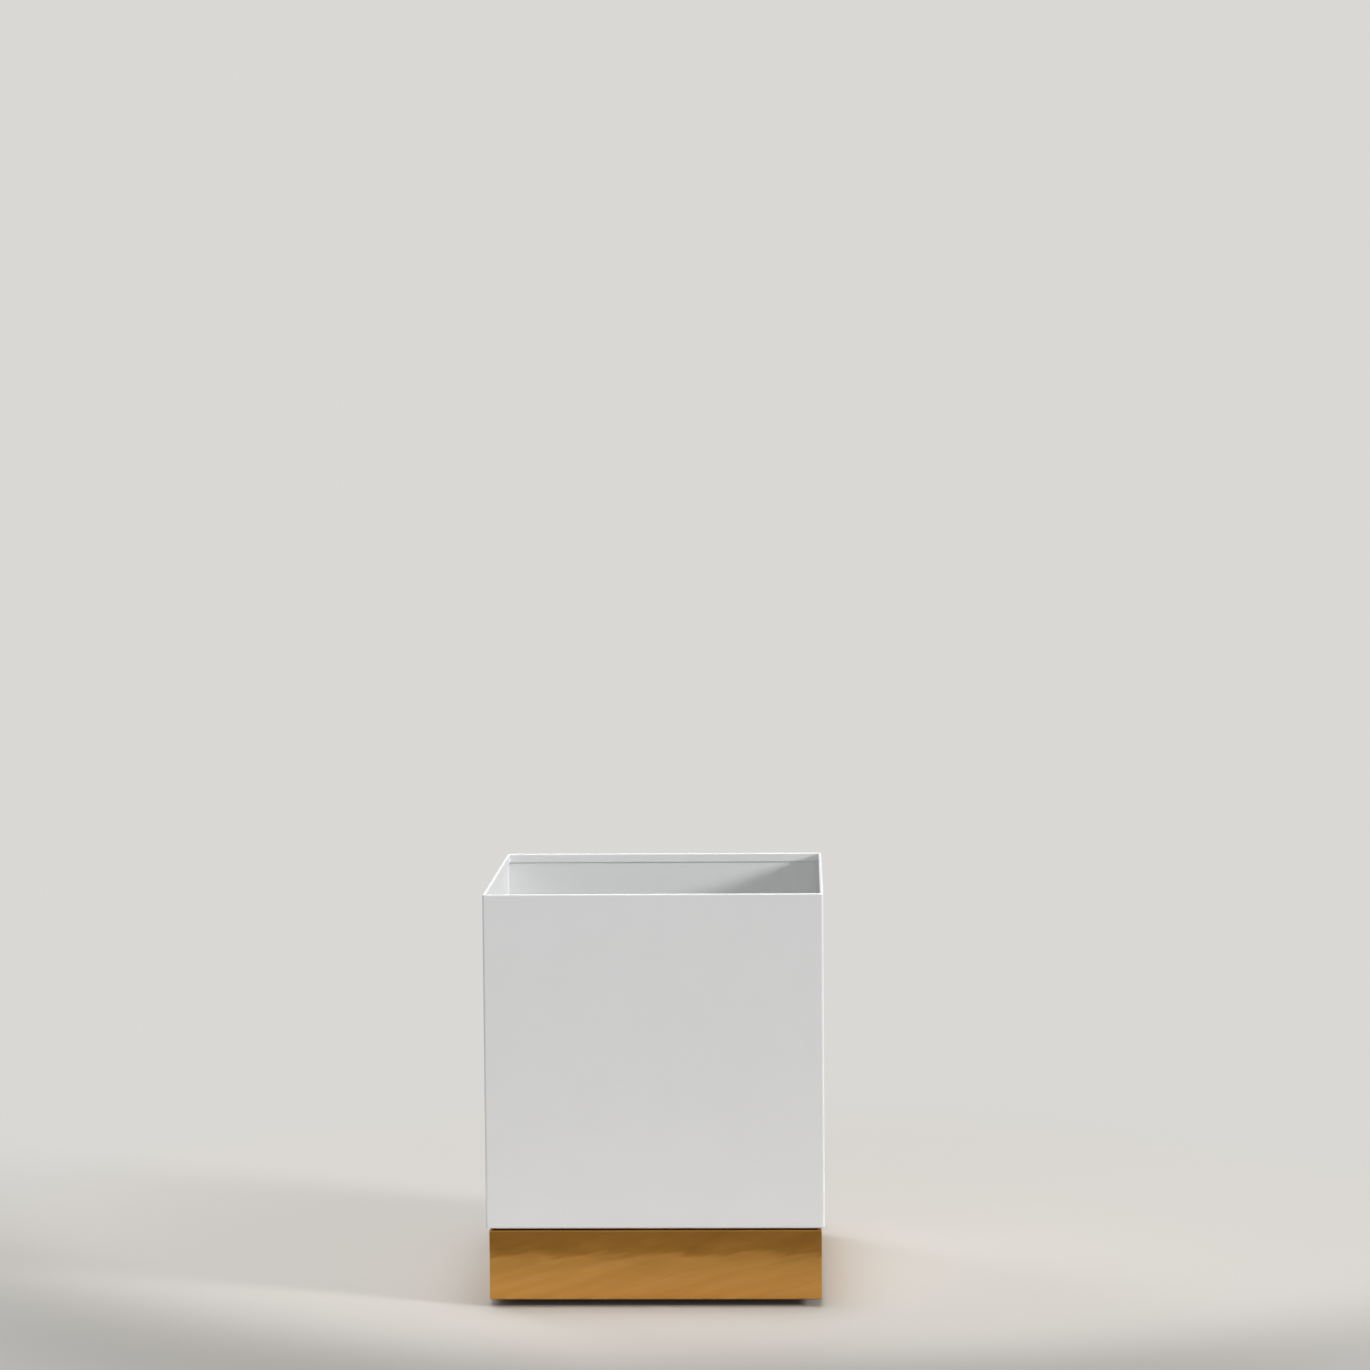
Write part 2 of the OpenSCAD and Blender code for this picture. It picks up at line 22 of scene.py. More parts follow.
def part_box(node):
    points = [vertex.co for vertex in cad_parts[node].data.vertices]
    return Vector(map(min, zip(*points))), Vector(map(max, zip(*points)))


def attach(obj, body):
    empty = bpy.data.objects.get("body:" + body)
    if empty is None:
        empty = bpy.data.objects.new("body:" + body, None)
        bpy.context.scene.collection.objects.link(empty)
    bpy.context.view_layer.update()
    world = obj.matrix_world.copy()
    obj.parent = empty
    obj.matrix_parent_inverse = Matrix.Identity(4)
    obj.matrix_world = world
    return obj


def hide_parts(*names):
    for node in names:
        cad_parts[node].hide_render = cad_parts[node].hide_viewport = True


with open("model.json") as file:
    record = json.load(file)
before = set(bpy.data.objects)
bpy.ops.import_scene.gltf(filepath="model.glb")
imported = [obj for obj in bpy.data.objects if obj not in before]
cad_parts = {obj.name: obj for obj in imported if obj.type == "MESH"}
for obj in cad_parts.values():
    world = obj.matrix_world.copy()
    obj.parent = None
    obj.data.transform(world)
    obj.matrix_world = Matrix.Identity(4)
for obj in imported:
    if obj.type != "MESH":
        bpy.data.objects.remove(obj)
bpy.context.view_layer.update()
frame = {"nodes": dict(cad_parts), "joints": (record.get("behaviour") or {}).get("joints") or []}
nodes = frame["nodes"]
MM = 0.001
CORNERS = ["front_left", "front_right", "rear_left", "rear_right"]

# %% [markdown]
# ## Camera
# The photograph was taken with a long lens from about eye height, a little to
# the right of the planter. A camera is a place, three turns and a focal length.
# These values come from lining up the corners of the rim, the foot and the
# skirt, so they are written as they were found rather than rounded.

# %% Camera at the photograph's viewing angle
CAMERA_AT = (0.2224, -6.0296, 1.3824)
CAMERA_YAW = math.radians(1.700)     # turned to the left of straight ahead
CAMERA_PITCH = math.radians(4.411)   # looking down
CAMERA_ROLL = math.radians(-0.442)
LENS_MM = 102.80
SENSOR_MM = 36.0


def camera_axes(yaw, pitch, roll):
    """Right, up and backward directions of a camera that looks along +Y before it is turned."""
    ahead = Vector((-math.sin(yaw) * math.cos(pitch), math.cos(yaw) * math.cos(pitch), -math.sin(pitch)))
    level = Vector((math.cos(yaw), math.sin(yaw), 0))
    above = level.cross(ahead)
    right = math.cos(roll) * level + math.sin(roll) * above
    up = math.cos(roll) * above - math.sin(roll) * level
    return right, up, -ahead


camera_data = bpy.data.cameras.new("camera")
camera_data.lens = LENS_MM
camera_data.sensor_width = SENSOR_MM
camera_data.clip_end = 50
camera = bpy.data.objects.new("camera", camera_data)
bpy.context.scene.collection.objects.link(camera)
turn = Matrix(camera_axes(CAMERA_YAW, CAMERA_PITCH, CAMERA_ROLL)).transposed()
camera.matrix_world = Matrix.Translation(CAMERA_AT) @ turn.to_4x4()
bpy.context.scene.camera = camera
bpy.context.scene.view_settings.view_transform = "Standard"
print("Camera:", LENS_MM, "mm lens at", CAMERA_AT)

# %% [markdown]
# ## Mesh helpers
# A smooth surface is a grid of points, with one parameter along it and one
# across it. Whole arrays of points are worked out at once, and the faces are
# the squares of the grid. A grid that closes on itself both ways is a tube
# bent into a ring, which is what a folded sheet round a planter is.

# %% Faces of a grid


def grid_faces(rows, columns, close_rows, close_columns):
    """Quads of a grid of points, with its last row or column joined to its first where it closes."""
    i = np.arange(rows if close_rows else rows - 1)[:, None]
    j = np.arange(columns if close_columns else columns - 1)[None, :]
    i2, j2 = (i + 1) % rows, (j + 1) % columns
    corners = [i * columns + j, i2 * columns + j, i2 * columns + j2, i * columns + j2]
    return np.stack([c + np.zeros_like(i + j) for c in corners], axis=-1).reshape(-1, 4)


def ring_cap(ring):
    """Quads that close a flat ring with an even number of points, in strips from side to side."""
    i = np.arange(len(ring) // 2 - 1)
    back = ring[::-1]
    return np.stack([ring[i], ring[i + 1], back[i + 1], back[i]], axis=-1)


def rod_faces(around, along):
    """Quads of a grid whose rows go round a rod and whose columns go along it, capped at both ends."""
    ring = np.arange(around) * along
    sides = grid_faces(around, along, True, False)
    return np.concatenate([sides, ring_cap(ring[::-1]), ring_cap(ring + along - 1)])


def join_grids(grids):
    """Stacks (points, faces) pairs into one pair, numbering the later faces on from the earlier points."""
    starts = np.cumsum([0] + [len(points) for points, _ in grids[:-1]])
    points = np.concatenate([points for points, _ in grids])
    faces = np.concatenate([faces + start for (_, faces), start in zip(grids, starts)])
    return points, faces


print("A rod of 6 by 2 points has", len(rod_faces(6, 2)), "quads, caps included")

# %% From a grid to a piece
MERGE_WITHIN = 0.001 * MM
LEVEL_WITHIN = math.radians(1)


def signed_volume(points, faces):
    """Volume inside closed quads, as the sum of each triangle's tetrahedron with the origin.
    It is negative where the faces point inwards."""
    a, b, c, d = (points[faces[:, k]] for k in range(4))
    return float((np.cross(b, c) * a).sum() + (np.cross(c, d) * a).sum()) / 6


def merge_points(mesh, join_level=False):
    """Merges points that share a place, and drops the faces that this closes up.
    join_level also joins neighbouring faces that are level with each other."""
    work = bmesh.new()
    work.from_mesh(mesh)
    bmesh.ops.remove_doubles(work, verts=work.verts, dist=MERGE_WITHIN)
    if join_level:
        bmesh.ops.dissolve_limit(work, angle_limit=LEVEL_WITHIN, verts=work.verts, edges=work.edges)
    work.to_mesh(mesh)
    work.free()


def mesh_piece(name, points, faces):
    """Makes an object at the origin from points and quads, turned outwards and shaded smooth."""
    if signed_volume(points, faces) < 0:
        faces = faces[:, ::-1]
    mesh = bpy.data.meshes.new(name)
    mesh.from_pydata(points.tolist(), [], faces.tolist())
    merge_points(mesh)
    mesh.shade_smooth()
    piece = bpy.data.objects.new(name, mesh)
    bpy.context.scene.collection.objects.link(piece)
    return piece


def dress(piece, material, body, node):
    """Gives a piece its material and slot, and lets it ride on a body in the place of its CAD node."""
    piece.data.materials.append(material)
    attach(piece, body)
    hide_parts(node)


# %% Outlines


def arc(centre, radius, start, end, steps=8):
    """Points on a circle about centre, between two angles in degrees, both ends included."""
    angle = np.radians(np.linspace(start, end, steps + 1))
    return np.stack([centre[0] + radius * np.cos(angle), centre[1] + radius * np.sin(angle)], axis=-1)


def with_supports(outline, inset):
    """Adds a point just inside both ends of each long edge of a closed outline.
    The shading of a bend then stays in the bend and doesn't spread over the flat beside it."""
    following = np.roll(outline, -1, axis=0)
    edge = following - outline
    length = np.linalg.norm(edge, axis=1, keepdims=True)
    step = edge / np.maximum(length, 1e-9) * inset
    long = length[:, 0] > 4 * inset
    extra = np.stack([outline, outline + step, following - step], axis=1)
    keep = np.stack([np.ones_like(long), long, long], axis=1)
    return extra[keep]


print("A quarter circle has", len(arc((0, 0), 1, 0, 90)), "points")

# %% [markdown]
# ## Sheet carried round a square
# The shell, the skirt and the sealant are all one section carried round a
# square. At a corner the section turns about an upright axis. Its outer face
# turns on the bend's radius. What lies further in than the bend's centre has no
# room to turn, so it meets in a mitre, as a folded flange does.

# %% Square ring


def square_path(inset, arc_steps=6, side_steps=6):
    """Directions of a path round a square: for each sample, its corner direction and its outward direction.
    A corner's samples share one corner direction while the outward one turns a quarter circle. A side's
    samples share the outward direction while the corner direction runs from one corner to the next.
    inset is the share of a side between a bend and the support samples beside it."""
    signs = np.array([[1, 1], [-1, 1], [-1, -1], [1, -1]], float)
    share = np.concatenate([[inset], np.linspace(0, 1, side_steps + 2)[1:-1], [1 - inset]])[:, None]
    corner_way, outward = [], []
    for k in range(4):
        angle = np.radians(90 * k + np.linspace(0, 90, arc_steps + 1))
        corner_way.append(np.repeat(signs[k : k + 1], arc_steps + 1, axis=0))
        outward.append(np.stack([np.cos(angle), np.sin(angle)], axis=-1))
        corner_way.append(signs[k] * (1 - share) + signs[(k + 1) % 4] * share)
        outward.append(np.repeat(outward[-1][-1:], len(share), axis=0))
    return np.concatenate(corner_way), np.concatenate(outward)


def square_ring(section, half, radius, path):
    """Carries a closed section (distance out, height) round a square, as an array of points.
    A point at distance u turns on radius r = u - (half - radius), never under zero, about a centre at
    u - r along both sides, so its place is (u - r) * corner direction + r * outward direction."""
    corner_way, outward = path
    reach = section[:, 0]
    turn_r = np.clip(reach - (half - radius), 0, None)
    flat = (reach - turn_r)[None, :, None] * corner_way[:, None] + turn_r[None, :, None] * outward[:, None]
    height = np.broadcast_to(section[None, :, 1:], flat.shape[:2] + (1,))
    points = np.concatenate([flat, height], axis=-1).reshape(-1, 3)
    return points, grid_faces(len(corner_way), len(section), True, True)


print("Path round a square:", len(square_path(0.01)[0]), "samples")

# %% [markdown]
# ## Node helpers and shared effects
# A material is a small program. Effects that several finishes use are node
# groups, built once: fine grain, dust that lies on top, and scuffs. Each works
# from the object's own coordinates, so nothing slides when a piece moves, and
# each puts out plain numbers or colours that the material then feeds to its
# shader.

# %% Nodes and links


def add_node(tree, kind, **settings):
    """Adds a node and sets its properties by name, or its input sockets where the name is a socket's."""
    node = tree.nodes.new(kind)
    for key, value in settings.items():
        if hasattr(node, key):
            setattr(node, key, value)
        else:
            node.inputs[key.replace("_", " ")].default_value = value
    return node


def math_node(tree, operation, first, second=None):
    """Adds a Math node whose inputs are sockets or plain numbers, and returns its output."""
    node = add_node(tree, "ShaderNodeMath", operation=operation)
    for socket, value in zip(node.inputs, (first, second)):
        if isinstance(value, (int, float)):
            socket.default_value = value
        elif value is not None:
            tree.links.new(value, socket)
    return node.outputs[0]


MIX_FIRST, MIX_SECOND, MIX_RESULT = 6, 7, 2    # a Mix node's sockets for two colours and their mix


def mix_colours(tree, factor, first, second):
    """Mixes two colours, each a socket or a plain colour, and returns the result's socket."""
    node = add_node(tree, "ShaderNodeMix", data_type="RGBA")
    for key, value in (("Factor", factor), (MIX_FIRST, first), (MIX_SECOND, second)):
        if isinstance(value, bpy.types.NodeSocket):
            tree.links.new(value, node.inputs[key])
        else:
            node.inputs[key].default_value = value
    return node.outputs[MIX_RESULT]


# %% Patterns


def object_vector(tree, stretch=(1, 1, 1)):
    """Object coordinates, stretched along each axis by a plain factor."""
    place = add_node(tree, "ShaderNodeTexCoord")
    mapping = add_node(tree, "ShaderNodeMapping")
    mapping.inputs["Scale"].default_value = stretch
    tree.links.new(place.outputs["Object"], mapping.inputs["Vector"])
    return mapping.outputs["Vector"]


def noise(tree, vector, scale, detail=2.0, roughness=0.5):
    """Noise between 0 and 1 that repeats about scale times a metre."""
    node = add_node(tree, "ShaderNodeTexNoise", Detail=detail, Roughness=roughness)
    tree.links.new(vector, node.inputs["Vector"])
    if isinstance(scale, bpy.types.NodeSocket):
        tree.links.new(scale, node.inputs["Scale"])
    else:
        node.inputs["Scale"].default_value = scale
    return node.outputs["Fac"]


def ramp(tree, value, low, high):
    """Smooth step from 0 at low to 1 at high."""
    node = add_node(tree, "ShaderNodeMapRange", interpolation_type="SMOOTHSTEP")
    node.inputs["From Min"].default_value = low
    node.inputs["From Max"].default_value = high
    tree.links.new(value, node.inputs["Value"])
    return node.outputs["Result"]


# %% Node groups


def new_group(name, inputs, outputs):
    """Starts a shader node group. inputs and outputs map a socket's name to a number or a colour."""
    tree = bpy.data.node_groups.new(name, "ShaderNodeTree")
    for in_out, sockets in (("INPUT", inputs), ("OUTPUT", outputs)):
        for label, default in sockets.items():
            kind = "NodeSocketFloat" if isinstance(default, (int, float)) else "NodeSocketColor"
            socket = tree.interface.new_socket(name=label, in_out=in_out, socket_type=kind)
            socket.default_value = default
    return tree, add_node(tree, "NodeGroupInput"), add_node(tree, "NodeGroupOutput")


def place_group(tree, group, **values):
    """Puts a node group in a material and sets its plain inputs."""
    node = add_node(tree, "ShaderNodeGroup")
    node.node_tree = group
    for label, value in values.items():
        node.inputs[label.replace("_", " ")].default_value = value
    return node


# %% [markdown]
# ### Grain
# Powder coat, moulded plastic and rubber are never quite smooth. Grain is a
# fine relief with a soft, much larger mottle. The relief feeds bump and the
# mottle shifts colour and roughness a little.

# %% Grain group
MOTTLE_SIZE = 40


def grain_group():
    """Relief = fine noise at one over Size; Mottle = soft noise at MOTTLE_SIZE times that size."""
    tree, given, result = new_group("grain", {"Size": 1.5 * MM}, {"Relief": 0.5, "Mottle": 0.5})
    vector = object_vector(tree)
    fine = math_node(tree, "DIVIDE", 1.0, given.outputs["Size"])
    tree.links.new(noise(tree, vector, fine, detail=1.5), result.inputs["Relief"])
    soft = math_node(tree, "MULTIPLY", fine, 1 / MOTTLE_SIZE)
    tree.links.new(noise(tree, vector, soft, detail=3.0), result.inputs["Mottle"])
    return tree


GRAIN = grain_group()
print("Group:", GRAIN.name)

# %% [markdown]
# ### Dust
# Dust lies on faces that look up and gathers in soft patches. It pales a dark
# surface and takes the gloss off a bright one.

# %% Dust group
DUST_COLOUR = (0.42, 0.40, 0.37, 1)
DUST_ROUGHNESS = 0.85
DUST_PATCHES = 45.0    # patches to a metre


def dust_group():
    """Mask = how far a face looks up, times patchy noise, times Amount.
    The mask mixes dust into the clean colour and the clean roughness."""
    white = (0.8, 0.8, 0.8, 1)
    tree, given, result = new_group(
        "dust",
        {"Amount": 0.3, "Clean Colour": white, "Clean Roughness": 0.5},
        {"Colour": white, "Roughness": 0.5},
    )
    shape = add_node(tree, "ShaderNodeNewGeometry")
    split = add_node(tree, "ShaderNodeSeparateXYZ")
    tree.links.new(shape.outputs["Normal"], split.inputs["Vector"])
    facing_up = ramp(tree, split.outputs["Z"], 0.3, 0.95)
    patches = ramp(tree, noise(tree, object_vector(tree), DUST_PATCHES, detail=4.0), 0.3, 0.75)
    settled = math_node(tree, "MULTIPLY", facing_up, patches)
    mask = math_node(tree, "MULTIPLY", settled, given.outputs["Amount"])
    dusty = mix_colours(tree, mask, given.outputs["Clean Colour"], DUST_COLOUR)
    tree.links.new(dusty, result.inputs["Colour"])
    rougher = add_node(tree, "ShaderNodeMix", data_type="FLOAT")
    tree.links.new(mask, rougher.inputs["Factor"])
    tree.links.new(given.outputs["Clean Roughness"], rougher.inputs[2])
    rougher.inputs[3].default_value = DUST_ROUGHNESS
    tree.links.new(rougher.outputs[0], result.inputs["Roughness"])
    return tree


DUST = dust_group()
print("Group:", DUST.name)

# %% [markdown]
# ### Scuffs
# Metal and rubber pick up soft, long scuffs. Noise that is stretched along one
# direction and cut off high leaves a few streaks, and a slow rise at the cut
# keeps their ends soft. One layer stretched along the piece and one across it
# look like use rather than like a pattern.

# %% Scuff group
SCUFF_RISE = 7.0


def scuff_group():
    """Mask = the larger of two crossed layers. A layer is SCUFF_RISE * (stretched noise - Cut)."""
    tree, given, result = new_group("scuff", {"Scale": 60.0, "Cut": 0.68}, {"Mask": 0.0})
    layers = []
    for stretch in ((1, 0.35, 4), (3, 1, 0.4)):
        layer = noise(tree, object_vector(tree, stretch), given.outputs["Scale"], detail=3.0)
        above = math_node(tree, "SUBTRACT", layer, given.outputs["Cut"])
        layers.append(math_node(tree, "MULTIPLY", above, SCUFF_RISE))
    both = math_node(tree, "MAXIMUM", layers[0], layers[1])
    limit = add_node(tree, "ShaderNodeClamp")
    tree.links.new(both, limit.inputs["Value"])
    tree.links.new(limit.outputs[0], result.inputs["Mask"])
    return tree


SCUFF = scuff_group()
print("Group:", SCUFF.name)

# %% [markdown]
# ### Parts that every material has
# Each material starts as plain values on its shader. Then a mottle varies one
# socket, a relief feeds the bump, and dust comes last, over the finished colour.

# %% Material helpers


def new_material(name, colour, roughness, metallic=0.0):
    """A Principled material with its plain values set. Returns the material, its tree and its shader."""
    material = bpy.data.materials.new(name)
    material.use_nodes = True
    tree = material.node_tree
    shader = tree.nodes["Principled BSDF"]
    shader.inputs["Base Color"].default_value = (*colour, 1)
    shader.inputs["Roughness"].default_value = roughness
    shader.inputs["Metallic"].default_value = metallic
    return material, tree, shader


def add_bump(tree, shader, height, distance, strength=1.0):
    """Feeds a height, in units of distance metres, to the shader's normal."""
    bump = add_node(tree, "ShaderNodeBump", Strength=strength, Distance=distance)
    tree.links.new(height, bump.inputs["Height"])
    tree.links.new(bump.outputs["Normal"], shader.inputs["Normal"])


def vary(tree, shader, socket, mottle, low, high):
    """Feeds a shader socket with a value that runs from low to high as the mottle goes from 0 to 1."""
    node = add_node(tree, "ShaderNodeMapRange")
    node.inputs["To Min"].default_value = low
    node.inputs["To Max"].default_value = high
    tree.links.new(mottle, node.inputs["Value"])
    tree.links.new(node.outputs["Result"], shader.inputs[socket])
    return node.outputs["Result"]


def finish_dusty(tree, shader, colour, roughness, amount):
    """Lays dust over a colour and a roughness, each a socket or a plain value, and feeds the shader."""
    dust = place_group(tree, DUST, Amount=amount)
    for label, value in (("Clean Colour", colour), ("Clean Roughness", roughness)):
        if isinstance(value, bpy.types.NodeSocket):
            tree.links.new(value, dust.inputs[label])
        else:
            dust.inputs[label].default_value = value
    tree.links.new(dust.outputs["Colour"], shader.inputs["Base Color"])
    tree.links.new(dust.outputs["Roughness"], shader.inputs["Roughness"])


# %% [markdown]
# ## White powder coat
# Powder is sprayed on dry and melts into a skin about 0.08 mm thick. It flows
# almost flat but keeps a soft, orange-peel relief a millimetre or two across,
# which only shows in the gloss. So the colour stays nearly even, and the work
# is done by a very low bump and a slightly uneven roughness.

# %% Powder coat material
PEEL_SIZE = 1.9 * MM
PEEL_HEIGHT = 0.07 * MM


def powder_coat():
    """White at medium gloss: peel relief for bump, mottle for roughness and a faint shift of colour."""
    material, tree, shader = new_material("powder_white", (0.86, 0.86, 0.855), 0.40)
    grain = place_group(tree, GRAIN, Size=PEEL_SIZE)
    mottle = grain.outputs["Mottle"]
    white = mix_colours(tree, mottle, (0.850, 0.850, 0.846, 1), (0.880, 0.880, 0.878, 1))
    gloss = vary(tree, shader, "Roughness", mottle, 0.36, 0.44)
    finish_dusty(tree, shader, white, gloss, 0.10)
    add_bump(tree, shader, grain.outputs["Relief"], PEEL_HEIGHT)
    return material


powder_white = powder_coat()
print("Material:", powder_white.name)

# %% [markdown]
# ## Polished gold
# The skirt is bright metal sheet with a gold-coloured coating. Metal has no
# colour of its own under the gloss: all that is seen is a tinted reflection,
# so the tint, the roughness and how flat the sheet is are the whole look. Thin
# sheet is never optically flat. Long, very low waves bend the reflection.
# Slanting bands differ a little in haze and in height, as a buffing wheel led
# aslant leaves them. Their shift in depth of colour is a painted reflection of
# streaks in a floor. The deeper colour along the upper part, with a wavy edge,
# is a painted reflection of darker floor farther in front.

# %% Slanting coordinates


def dot_product(tree, vector, direction):
    """Length of a vector along a plain direction."""
    node = add_node(tree, "ShaderNodeVectorMath", operation="DOT_PRODUCT")
    node.inputs[1].default_value = direction
    tree.links.new(vector, node.inputs[0])
    return node.outputs["Value"]


def slanted_vector(tree, slant, along, across):
    """Coordinates that run up every upright side at a slant. With u = x + y and the slant a they are
    (u cos a + z sin a) * along and (z cos a - u sin a) * across, so noise is drawn out into bands."""
    place = object_vector(tree)
    cos_a, sin_a = math.cos(slant), math.sin(slant)
    pair = add_node(tree, "ShaderNodeCombineXYZ")
    ways = (((cos_a, cos_a, sin_a), along), ((-sin_a, -sin_a, cos_a), across))
    for socket, (way, scale) in zip(("X", "Y"), ways):
        scaled = math_node(tree, "MULTIPLY", dot_product(tree, place, way), scale)
        tree.links.new(scaled, pair.inputs[socket])
    return pair.outputs["Vector"]


# %% Gold material
# Slant of the bands: buffing in haze and height, and a painted reflection of streaks in the colour.
BUFFING_AND_PAINTED_STREAK_SLANT = math.radians(17)
BANDS_ALONG = 5          # changes to a metre along a band
BANDS_ACROSS = 52        # and across it
# Heights of the painted darker reflection along the skirt's upper part.
PAINTED_DARK_REFLECTION_FROM = 75.0 * MM    # the deeper colour starts at this height
PAINTED_DARK_REFLECTION_TO = 85.0 * MM      # and is full at this one
BAND_WAVE = 48.0 * MM    # how strongly the bands shift that boundary up and down
# The spread between these tints is a painted reflection of streaks in a floor.
TINTS = ((0.59, 0.297, 0.070, 1), (0.68, 0.354, 0.096, 1))
PAINTED_DARK_REFLECTION_TINTS = ((0.43, 0.202, 0.037, 1), (0.50, 0.243, 0.051, 1))
SHEET_WAVES = 13.0       # waves of the thin sheet to a metre
WAVE_HEIGHT = 1.4 * MM
BAND_HEIGHT = 0.05       # of a band, as a share of a wave's


def polished_gold():
    """Tinted metal: slanting bands for haze and for a painted reflection of streaks in the colour, a
    painted darker reflection over the upper part, and long waves with the bands in the relief.
    """
    material, tree, shader = new_material("polished_gold", (0.62, 0.32, 0.08), 0.05, metallic=1.0)
    slanted = slanted_vector(tree, BUFFING_AND_PAINTED_STREAK_SLANT, BANDS_ALONG, BANDS_ACROSS)
    streaks = noise(tree, slanted, 1.0, detail=6.0, roughness=0.6)
    bands = ramp(tree, streaks, 0.30, 0.72)
    # Mixing by the bands paints a reflection of floor streaks into the tint.
    tint = mix_colours(tree, bands, *TINTS)
    height = dot_product(tree, object_vector(tree), (0, 0, 1))
    wavy_height = math_node(tree, "ADD", height, math_node(tree, "MULTIPLY", streaks, BAND_WAVE))
    # Painted reflection: the upper part is darker, as a mirror of darker floor farther in front would be.
    painted_dark_reflection = ramp(tree, wavy_height, PAINTED_DARK_REFLECTION_FROM + BAND_WAVE / 2, PAINTED_DARK_REFLECTION_TO + BAND_WAVE / 2)
    painted_dark_tint = mix_colours(tree, bands, *PAINTED_DARK_REFLECTION_TINTS)
    tree.links.new(mix_colours(tree, painted_dark_reflection, tint, painted_dark_tint), shader.inputs["Base Color"])
    vary(tree, shader, "Roughness", bands, 0.07, 0.03)
    waves = noise(tree, object_vector(tree, (1, 1, 1.3)), SHEET_WAVES, detail=2.0)
    relief = math_node(tree, "ADD", waves, math_node(tree, "MULTIPLY", bands, BAND_HEIGHT))
    add_bump(tree, shader, relief, WAVE_HEIGHT)
    return material


gold = polished_gold()
print("Material:", gold.name)

# %% [markdown]
# ## Plated, galvanised and painted steel
# The casters and fasteners are zinc plated: a bright, slightly blue grey with
# soft stains. The floor pan is hot-dip galvanised, and its zinc has frozen in
# flat crystals a centimetre or so across. The frame has a thin black coat.

# %% Zinc plate


def zinc_plate():
    """Bright grey metal with a cool and a warm stain, scuffed duller in streaks."""
    material, tree, shader = new_material("zinc_steel", (0.60, 0.61, 0.63), 0.34, metallic=1.0)
    stain = noise(tree, object_vector(tree), 70.0, detail=4.0)
    tint = mix_colours(tree, stain, (0.52, 0.55, 0.60, 1), (0.66, 0.64, 0.60, 1))
    scuff = place_group(tree, SCUFF, Scale=120.0, Cut=0.62)
    dulled = mix_colours(tree, scuff.outputs["Mask"], tint, (0.42, 0.42, 0.43, 1))
    gloss = vary(tree, shader, "Roughness", stain, 0.26, 0.46)
    finish_dusty(tree, shader, dulled, gloss, 0.25)
    grain = place_group(tree, GRAIN, Size=0.6 * MM)
    add_bump(tree, shader, grain.outputs["Relief"], 0.02 * MM)
    return material


zinc = zinc_plate()
print("Material:", zinc.name)

# %% Galvanised sheet
CRYSTALS = 95.0     # to a metre
CRYSTAL_WARP = 0.006


def galvanised_sheet():
    """Zinc crystals: cells of one grey each, so that every crystal catches the light in its own way.
    A little noise mixed into the coordinates keeps the crystals' edges from being straight."""
    material, tree, shader = new_material("galvanised", (0.47, 0.48, 0.50), 0.57, metallic=1.0)
    cells = add_node(tree, "ShaderNodeTexVoronoi", Scale=CRYSTALS, Randomness=1.0)
    warp = add_node(tree, "ShaderNodeTexNoise", Scale=160.0, Detail=2.0)
    place = object_vector(tree)
    tree.links.new(place, warp.inputs["Vector"])
    shift = add_node(tree, "ShaderNodeMix", data_type="VECTOR")
    shift.inputs["Factor"].default_value = CRYSTAL_WARP
    tree.links.new(place, shift.inputs[4])
    tree.links.new(warp.outputs["Color"], shift.inputs[5])
    tree.links.new(shift.outputs[1], cells.inputs["Vector"])
    split = add_node(tree, "ShaderNodeSeparateColor")
    tree.links.new(cells.outputs["Color"], split.inputs["Color"])
    grey = mix_colours(tree, split.outputs["Red"], (0.39, 0.405, 0.42, 1), (0.54, 0.55, 0.56, 1))
    gloss = vary(tree, shader, "Roughness", split.outputs["Green"], 0.50, 0.66)
    finish_dusty(tree, shader, grey, gloss, 0.35)
    add_bump(tree, shader, cells.outputs["Distance"], 0.15 * MM, strength=0.4)
    return material


galvanised = galvanised_sheet()
print("Material:", galvanised.name)

# %% Black coat and bearing steel


def black_coat():
    """Thin satin black over steel: fine peel, worn through to grey in a few streaks."""
    material, tree, shader = new_material("frame_black", (0.022, 0.022, 0.024), 0.45)
    grain = place_group(tree, GRAIN, Size=1.8 * MM)
    scuff = place_group(tree, SCUFF, Scale=55.0, Cut=0.70)
    black = mix_colours(tree, grain.outputs["Mottle"], (0.016, 0.016, 0.018, 1), (0.032, 0.032, 0.034, 1))
    worn = mix_colours(tree, scuff.outputs["Mask"], black, (0.16, 0.16, 0.16, 1))
    gloss = vary(tree, shader, "Roughness", grain.outputs["Mottle"], 0.38, 0.52)
    finish_dusty(tree, shader, worn, gloss, 0.45)
    add_bump(tree, shader, grain.outputs["Relief"], 0.04 * MM)
    return material


def ball_steel():
    """Hard polished steel under a film of grease."""
    material, tree, shader = new_material("ball_steel", (0.70, 0.70, 0.71), 0.10, metallic=1.0)
    film = noise(tree, object_vector(tree), 400.0, detail=3.0)
    vary(tree, shader, "Roughness", film, 0.06, 0.22)
    tint = mix_colours(tree, film, (0.74, 0.74, 0.75, 1), (0.60, 0.57, 0.50, 1))
    tree.links.new(tint, shader.inputs["Base Color"])
    return material


frame_black = black_coat()
bright_balls = ball_steel()
print("Materials:", frame_black.name, "and", bright_balls.name)

# %% [markdown]
# ## Rubber, foam, sealant and nylon
# These differ in how fine their grain is and how much they shine. Foam is
# coarse and dull, rubber is fine and dull, nylon has a waxy sheen, and sealant
# is smoothed with a wet finger, so it is the glossiest.

# %% Soft and moulded materials


